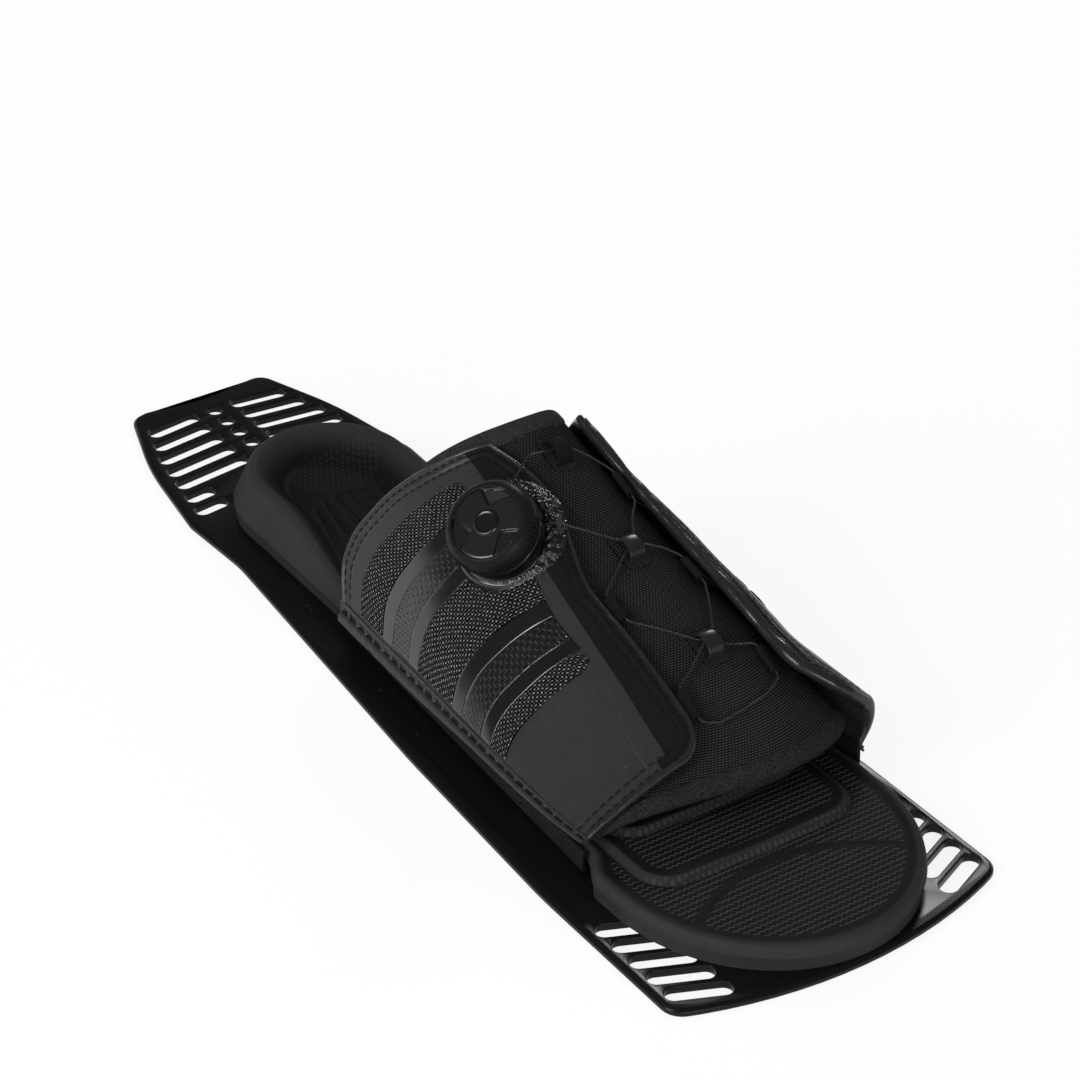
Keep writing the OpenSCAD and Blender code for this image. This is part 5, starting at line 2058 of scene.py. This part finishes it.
        obj = Bench.sheet("footbed_pad", len(stations) - 1, 165, face)
        Bench.weld(obj)
        for level in (1, 0):
            self.drop_wall(obj, level)
        Bench.edit(obj, lambda: bpy.ops.mesh.select_all(action="DESELECT"),
                   lambda: bpy.ops.mesh.select_non_manifold(extend=False),
                   lambda: bpy.ops.mesh.edge_face_add(),
                   lambda: bpy.ops.mesh.select_all(action="SELECT"),
                   lambda: bpy.ops.mesh.normals_make_consistent(inside=False))
        Bench.smooth(obj, 50.0)
        self.paint(obj)
        return obj

    def drop_wall(self, obj: Piece, level: int) -> None:
        """Extrudes the open edge down to the undercut (1) or the foot (0).

        Args:
            obj: The open form.
            level: Which of the two.
        """
        Bench.edit(obj, lambda: bpy.ops.mesh.select_all(action="DESELECT"),
                   lambda: bpy.ops.mesh.select_non_manifold(extend=False),
                   lambda: bpy.ops.mesh.extrude_region_move())
        points = Bench.places(obj)
        chosen = np.empty(len(points), dtype=bool)
        obj.data.vertices.foreach_get("select", chosen)
        x, y = points[chosen, 0], points[chosen, 1]
        left = y > self.mid(x)
        first, last = np.full_like(x, -34.0), np.where(left, 135.0, 128.0)
        under = 15.0 * ease((x - first + 12.0) / 8.0) * ease((last + 9.0 - x) / 6.0)
        inward = (under + 0.3) if level else np.full_like(x, 0.3)
        way = np.stack([np.clip(x, *self.spine) - x, self.mid(x) - y], axis=1)
        way = way / np.maximum(np.linalg.norm(way, axis=1, keepdims=True), 1e-6)
        points[chosen, :2] += way * inward[:, None]
        points[chosen, 2] = self.undercut_z if level else self.foot_z
        Bench.move(obj, points)

    def dress(self, finishes: Finishes) -> None:
        """Builds the footbed."""
        pad = Bench.settle(self.body(), finishes.foam, "footbed", ("footbed",))


@dataclass
class Lacing:
    """Lace, loops and keepers."""

    upper: Upper
    dial: Dial
    keeper_x: Sequence[float] = (9.5, 52.4, 97.0)
    keeper_t: float = 0.515
    right_x: Sequence[float] = (72.0, 114.0)
    left_x: Sequence[float] = (28.0, 68.0, 110.0)
    right_t: float = 0.382
    left_t: float = 0.63
    right_d: float = 6.05
    left_d: float = 6.85
    low: float = 5.3
    high: float = 6.85
    lace_r: float = 0.55
    braid_r: float = 0.4
    loop_width: float = 11.0

    def route(self) -> Array:
        """Points of the lace from the dial, through the guides and back.

        Returns:
            One row for each point.
        """
        spot = self.upper.point
        end = self.loop_width / 2.0 + 1.2
        tongue = 4.55

        def keeper(i: int, d: float, a: float, b: float) -> list[Array]:
            """Through a keeper, from right to left."""
            return [spot(self.keeper_x[i] + mix(a, b, (k + 1) / 2.0), self.keeper_t + k * 0.028, d)
                    for k in (-1, 0, 1)]

        def loop(xs: Sequence[float], i: int, t: float, d: float) -> list[Array]:
            """Through a loop, from rear to front."""
            return [spot(xs[i] + k * end, t, d) for k in (-1, 0, 1)]

        left = [loop(self.left_x, i, self.left_t, self.left_d) for i in range(3)]
        right = [loop(self.right_x, i, self.right_t, self.right_d) for i in range(2)]
        over = self.upper.flap_outer + 2.5 + self.lace_r + 0.9
        out, back = (128.0, 55.0)
        points = [self.dial.polar(13.0, out, 1.9), self.dial.polar(19.5, out, 1.9), spot(11.0, 0.43, over)]
        points += keeper(0, self.low, 0.0, 0.0) + [spot(14.0, 0.59, tongue + 1.0)] + left[0]
        points += [spot(42.0, 0.58, tongue + 1.0)] + keeper(1, self.low, 2.4, -2.4)[::-1]
        points += [spot(60.0, 0.43, tongue)] + right[0] + [spot(85.0, 0.43, tongue)]
        points += keeper(2, self.low, -2.4, 2.4) + [spot(101.0, 0.58, tongue + 0.6)] + left[2]
        points += [spot(119.0, 0.585, tongue), spot(121.5, 0.5, tongue), spot(122.5, 0.42, tongue)]
        points += right[1][::-1] + [spot(103.5, 0.43, tongue)] + keeper(2, self.high, 2.4, -2.4)
        points += [spot(84.0, 0.59, self.high)] + left[1][::-1] + [spot(57.5, 0.59, self.high)]
        points += keeper(1, self.high, -2.4, 2.4)[::-1] + [spot(46.0, 0.44, over)]
        points += [self.dial.polar(19.5, back, 1.9), self.dial.polar(13.0, back, 1.9)]
        return np.array(points)

    def lace(self) -> Piece:
        """The lace as a round tube along its route.

        Returns:
            The lace.
        """
        points = self.route()
        run = lengths(points)
        fine = along(np.linspace(0.0, run[-1], int(run[-1] / 0.9)), run, points)
        relax(fine, 3)
        return Bench.tube("lace_run", fine, self.braid_r)

    def loop(self, name: str, x: float, t: float, d: float, way: float) -> Piece:
        """A folded webbing loop from under a flap's edge round the lace.

        Args:
            name: Name of the piece.
            x: Station of its middle.
            t: Place of the lace round the arch.
            d: Height of the lace out of the lining.
            way: 1 if the flap lies at smaller t, -1 if at larger t.

        Returns:
            The loop.
        """
        path = np.array([(-9, -1.9), (-5, -1.75), (-2, -1.5), (0.2, -1.35), (1.15, -0.95), (1.6, 0.0),
                         (1.15, 0.95), (0.2, 1.25), (-1.6, 0.7), (-4, -0.1), (-9, -0.75)])
        rate = self.upper.rate(x, t)
        run = np.linspace(0, 1, len(path))

        def face(u: Array, v: Array, out: Array) -> Array:
            """Along the fold and across the webbing.

            Args:
                u: Share along the fold.
                v: Share across.
                out: Distance out.

            Returns:
                Places in millimetres.
            """
            a, h = (np.interp(u, run, path[:, k]) for k in range(2))
            side = np.interp(u + 0.01, run, path[:, 0]) - a
            rise = np.interp(u + 0.01, run, path[:, 1]) - h
            size = np.maximum(np.hypot(side, rise), 1e-6)
            a, h = a + rise / size * out, h - side / size * out
            narrow = 1.0 - 0.12 * ease((a + 4.0) / 5.0)
            return self.upper.point(x + (v - 0.5) * self.loop_width * narrow, t + way * a / rate, d + h)

        obj = Bench.sheet(name, 44, 16, face)
        Bench.thicken(obj, 0.6, 0.15, 2)
        return obj

    def keeper(self, name: str, i: int) -> tuple[Piece, Piece]:
        """A strap over the lace, and the sewn patch under it.

        Args:
            name: Name of the CAD node.
            i: Its number from the rear.

        Returns:
            The strap and the patch.
        """
        frame = self.upper.frame(self.keeper_x[i], self.keeper_t)
        middle = self.upper.point(self.keeper_x[i], self.keeper_t, self.upper.tongue_thickness + 0.1)
        path = np.array([(-6.0, -1.6), (-5.6, -0.4), (-5.1, 1.0), (-4.4, 2.7), (-2.9, 4.2), (0, 4.7),
                         (2.9, 4.2), (4.4, 2.7), (5.1, 1.0), (5.6, -0.4), (6.0, -1.6)])
        run = np.linspace(0, 1, len(path))

        def strap(u: Array, v: Array, d: Array) -> Array:
            """Along the strap and across it.

            Args:
                u: Share along.
                v: Share across.
                d: Distance out.

            Returns:
                Places in millimetres.
            """
            a, h = (sum(np.interp(u + k * 0.02, run, path[:, c]) for k in range(-2, 3)) / 5.0 for c in range(2))
            bow = 0.35 * (2 * v - 1) ** 2 * ease((h - 2.0) / 2.0)
            local = np.stack([a, (v - 0.5) * 6.3, h + 0.8 - bow + d], axis=1)
            return middle + local @ frame

        def patch(u: Array, v: Array, d: Array) -> Array:
            """The patch under it, with round corners.

            Args:
                u: Share along.
                v: Share across.
                d: Distance out.

            Returns:
                Places in millimetres.
            """
            a, b = 2 * u - 1, 2 * v - 1
            square = np.maximum(np.abs(a), np.abs(b))
            power = 5.0
            round_share = square / np.maximum((np.abs(a) ** power + np.abs(b) ** power) ** (1 / power), 1e-6)
            local = np.stack([a * round_share * 7.9, b * round_share * 5.2, d], axis=1)
            return middle + local @ frame

        def sewn(u: Array, v: Array) -> Array:
            """Slack with a sewn line round it.

            Args:
                u: Share along.
                v: Share across.

            Returns:
                Heights.
            """
            square = np.maximum(np.abs(2 * u - 1), np.abs(2 * v - 1))
            flat = np.stack([u * 15.0, v * 10.0, 0 * u], axis=1)
            return 0.3 - 0.15 * ridge(square - 0.8, 0.1) + 0.12 * rumple(flat, 2.2, i)

        top = Bench.sheet(name + "_strap", 48, 14, strap)
        Bench.thicken(top, 1.0, 0.3, 2)
        base = Bench.sheet(name + "_patch", 30, 22, patch, sewn)
        Bench.thicken(base, 0.4, 0.12, 2)
        return top, base

    def dress(self, finishes: Finishes) -> None:
        """Builds the lacing.

        Args:
            finishes: Materials.
        """
        Bench.settle(self.lace(), finishes.lace, "lace", ("lace",))
        rows = (("right", ("rear", "front"), self.right_x, self.right_t, self.right_d, 1.0),
                ("left", ("rear", "middle", "front"), self.left_x, self.left_t, self.left_d, -1.0))
        for side, names, xs, t, d, way in rows:
            for name, x in zip(names, xs):
                node = f"{side}_loop_{name}"
                web = self.loop(node + "_web", x, t, d, way)
                Bench.settle(web, finishes.webbing, "webbing", (node,))
                Bench.cloth(web, "folded", (side + "_flap_skin",))
        for i, node in enumerate(("keeper_rear", "keeper_middle", "keeper_front")):
            material = finishes.webbing if i == 0 else finishes.strap
            strap, patch = self.keeper(node, i)
            Bench.settle(patch, finishes.tongue, "keeper", (node,))
            Bench.settle(strap, material, "keeper", (node,))
            Bench.cloth(patch, "laid", ("tongue_skin",), [strap])


@dataclass
class Plate:
    """The slotted plate and the hidden metal under the footbed."""

    edge: float = 0.35

    def dress(self, nodes: Mapping[str, Piece], finishes: Finishes) -> None:
        """Builds the plate with round edges, and dresses the hidden nodes.

        Args:
            nodes: CAD nodes by name.
            finishes: Materials.
        """
        obj = Bench.copy_node("plate_body", nodes["base_plate"])
        Bench.round_edges(obj, self.edge, 3, 30.0)
        Bench.settle(obj, finishes.plate, "plate", ("base_plate",))
        for name, material in (
            ("right_clamp_strip", finishes.strip), ("left_clamp_strip", finishes.strip),
            ("plate_screws", finishes.steel), ("dial_axle", finishes.steel),
            ("dial_spool", finishes.moulded), ("dial_pawl_disc", finishes.moulded),
        ):
            for slot in nodes[name].material_slots:
                slot.material = material


@dataclass
class Studio:
    """Floor, lights and camera."""

    eye: Sequence[float] = (0.9107, -0.6003, 0.7510)
    ahead: Sequence[float] = (-0.6947, 0.4732, -0.5419)
    lens: float = 122.98
    sensor: float = 36.0
    shade_share: float = 0.15
    ambient: float = 0.45
    ceiling: float = 0.1
    wall_top: tuple[float, float] = (0.06, 0.2)

    def camera(self) -> None:
        """The camera at the photograph's angle."""
        data = bpy.data.cameras.new("camera")
        data.lens = self.lens
        data.sensor_width = self.sensor
        data.clip_start = 0.05
        back = -Vector(self.ahead).normalized()
        right = Vector((0, 0, 1)).cross(back).normalized()
        turn = Matrix((right, back.cross(right), back)).transposed().to_4x4()
        obj = bpy.data.objects.new("camera", data)
        obj.matrix_world = Matrix.Translation(self.eye) @ turn
        bpy.context.scene.collection.objects.link(obj)
        bpy.context.scene.camera = obj

    def lamp(self, name: str, place: Sequence[float], size: Sequence[float], watts: float) -> None:
        """A soft lamp that faces the binding, of a width and height in metres.

        Args:
            name: Name of the lamp.
            place: Where it stands.
            size: Width and height.
            watts: Power.
        """
        data = bpy.data.lights.new(name, "AREA")
        data.shape = "RECTANGLE"
        data.size, data.size_y = size
        data.energy = watts
        obj = bpy.data.objects.new(name, data)
        way = Vector((0.03, 0.0, 0.03)) - Vector(place)
        obj.matrix_world = Matrix.Translation(place) @ way.to_track_quat("-Z", "Y").to_matrix().to_4x4()
        bpy.context.scene.collection.objects.link(obj)

    def floor(self) -> None:
        """A plain white floor that keeps a soft shadow."""
        Bench.clear()
        bpy.ops.mesh.primitive_plane_add(size=12.0)
        obj = Bench.named("floor")
        tree = Tree(bpy.data.materials.new("floor_white"))
        glow = tree.node("ShaderNodeEmission", inputs={"Color": (1, 1, 1, 1), "Strength": 1.0})
        paint = tree.node("ShaderNodeBsdfDiffuse", inputs={"Color": (0.95, 0.95, 0.95, 1)})
        share = tree.seen() * (1.0 - self.shade_share)
        tree.output(tree.node("ShaderNodeMixShader", inputs={0: share, 1: paint, 2: glow}))
        obj.data.materials.append(tree.owner)

    def world(self) -> None:
        """A white wall under a dark ceiling, with an even light of its own."""
        surround = bpy.data.worlds.new("surround")
        bpy.context.scene.world = surround
        tree = Tree(surround)
        way = tree.node("ShaderNodeSeparateXYZ", inputs={0: tree.node("ShaderNodeTexCoord")}, out="Z")
        low, high = self.wall_top
        above = ((way - low) / (high - low)).clamp()
        shown = 1.0 - (1.0 - self.ceiling) * above
        level = self.ambient + (shown - self.ambient) * tree.seen()
        light = tree.node("ShaderNodeBackground", inputs={"Color": (1, 1, 1, 1), "Strength": level})
        tree.output(light, "ShaderNodeOutputWorld")

    def build(self) -> None:
        """Sets the whole studio."""
        self.camera()
        self.world()
        self.floor()
        self.lamp("key", (0.15, -1.4, 0.8), (0.8, 0.8), 18.0)
        self.lamp("rim", (-1.0, 1.2, 1.0), (0.4, 0.4), 9.0)
        self.lamp("front", (1.5, -0.5, 0.45), (0.8, 0.6), 10.0)
        bpy.context.scene.view_settings.view_transform = "Standard"


def main() -> None:
    """Builds every piece in order."""
    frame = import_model()
    logging.basicConfig(level=logging.INFO, format="%(message)s")
    nodes = frame["nodes"]
    Studio().build()
    finishes = Finishes()
    upper = Upper()
    dial = Dial()
    Lacing(upper, dial).dress(finishes)
    Plate().dress(nodes, finishes)
    Footbed().dress(finishes)
    Tongue(upper).dress(finishes)
    right = Flap(Side.RIGHT, upper, 130.0, 13.0, 0.2, (86.0, 54.0))
    right.dress(finishes, dial)
    Flap(Side.LEFT, upper, 133.0, 18.0, 0.55, (75.0, 36.0)).dress(finishes, None)
    for side in Side:
        Skirt(side, upper).dress(finishes)
    dial.dress(nodes, finishes, right)


if __name__ == "__main__":
    main()
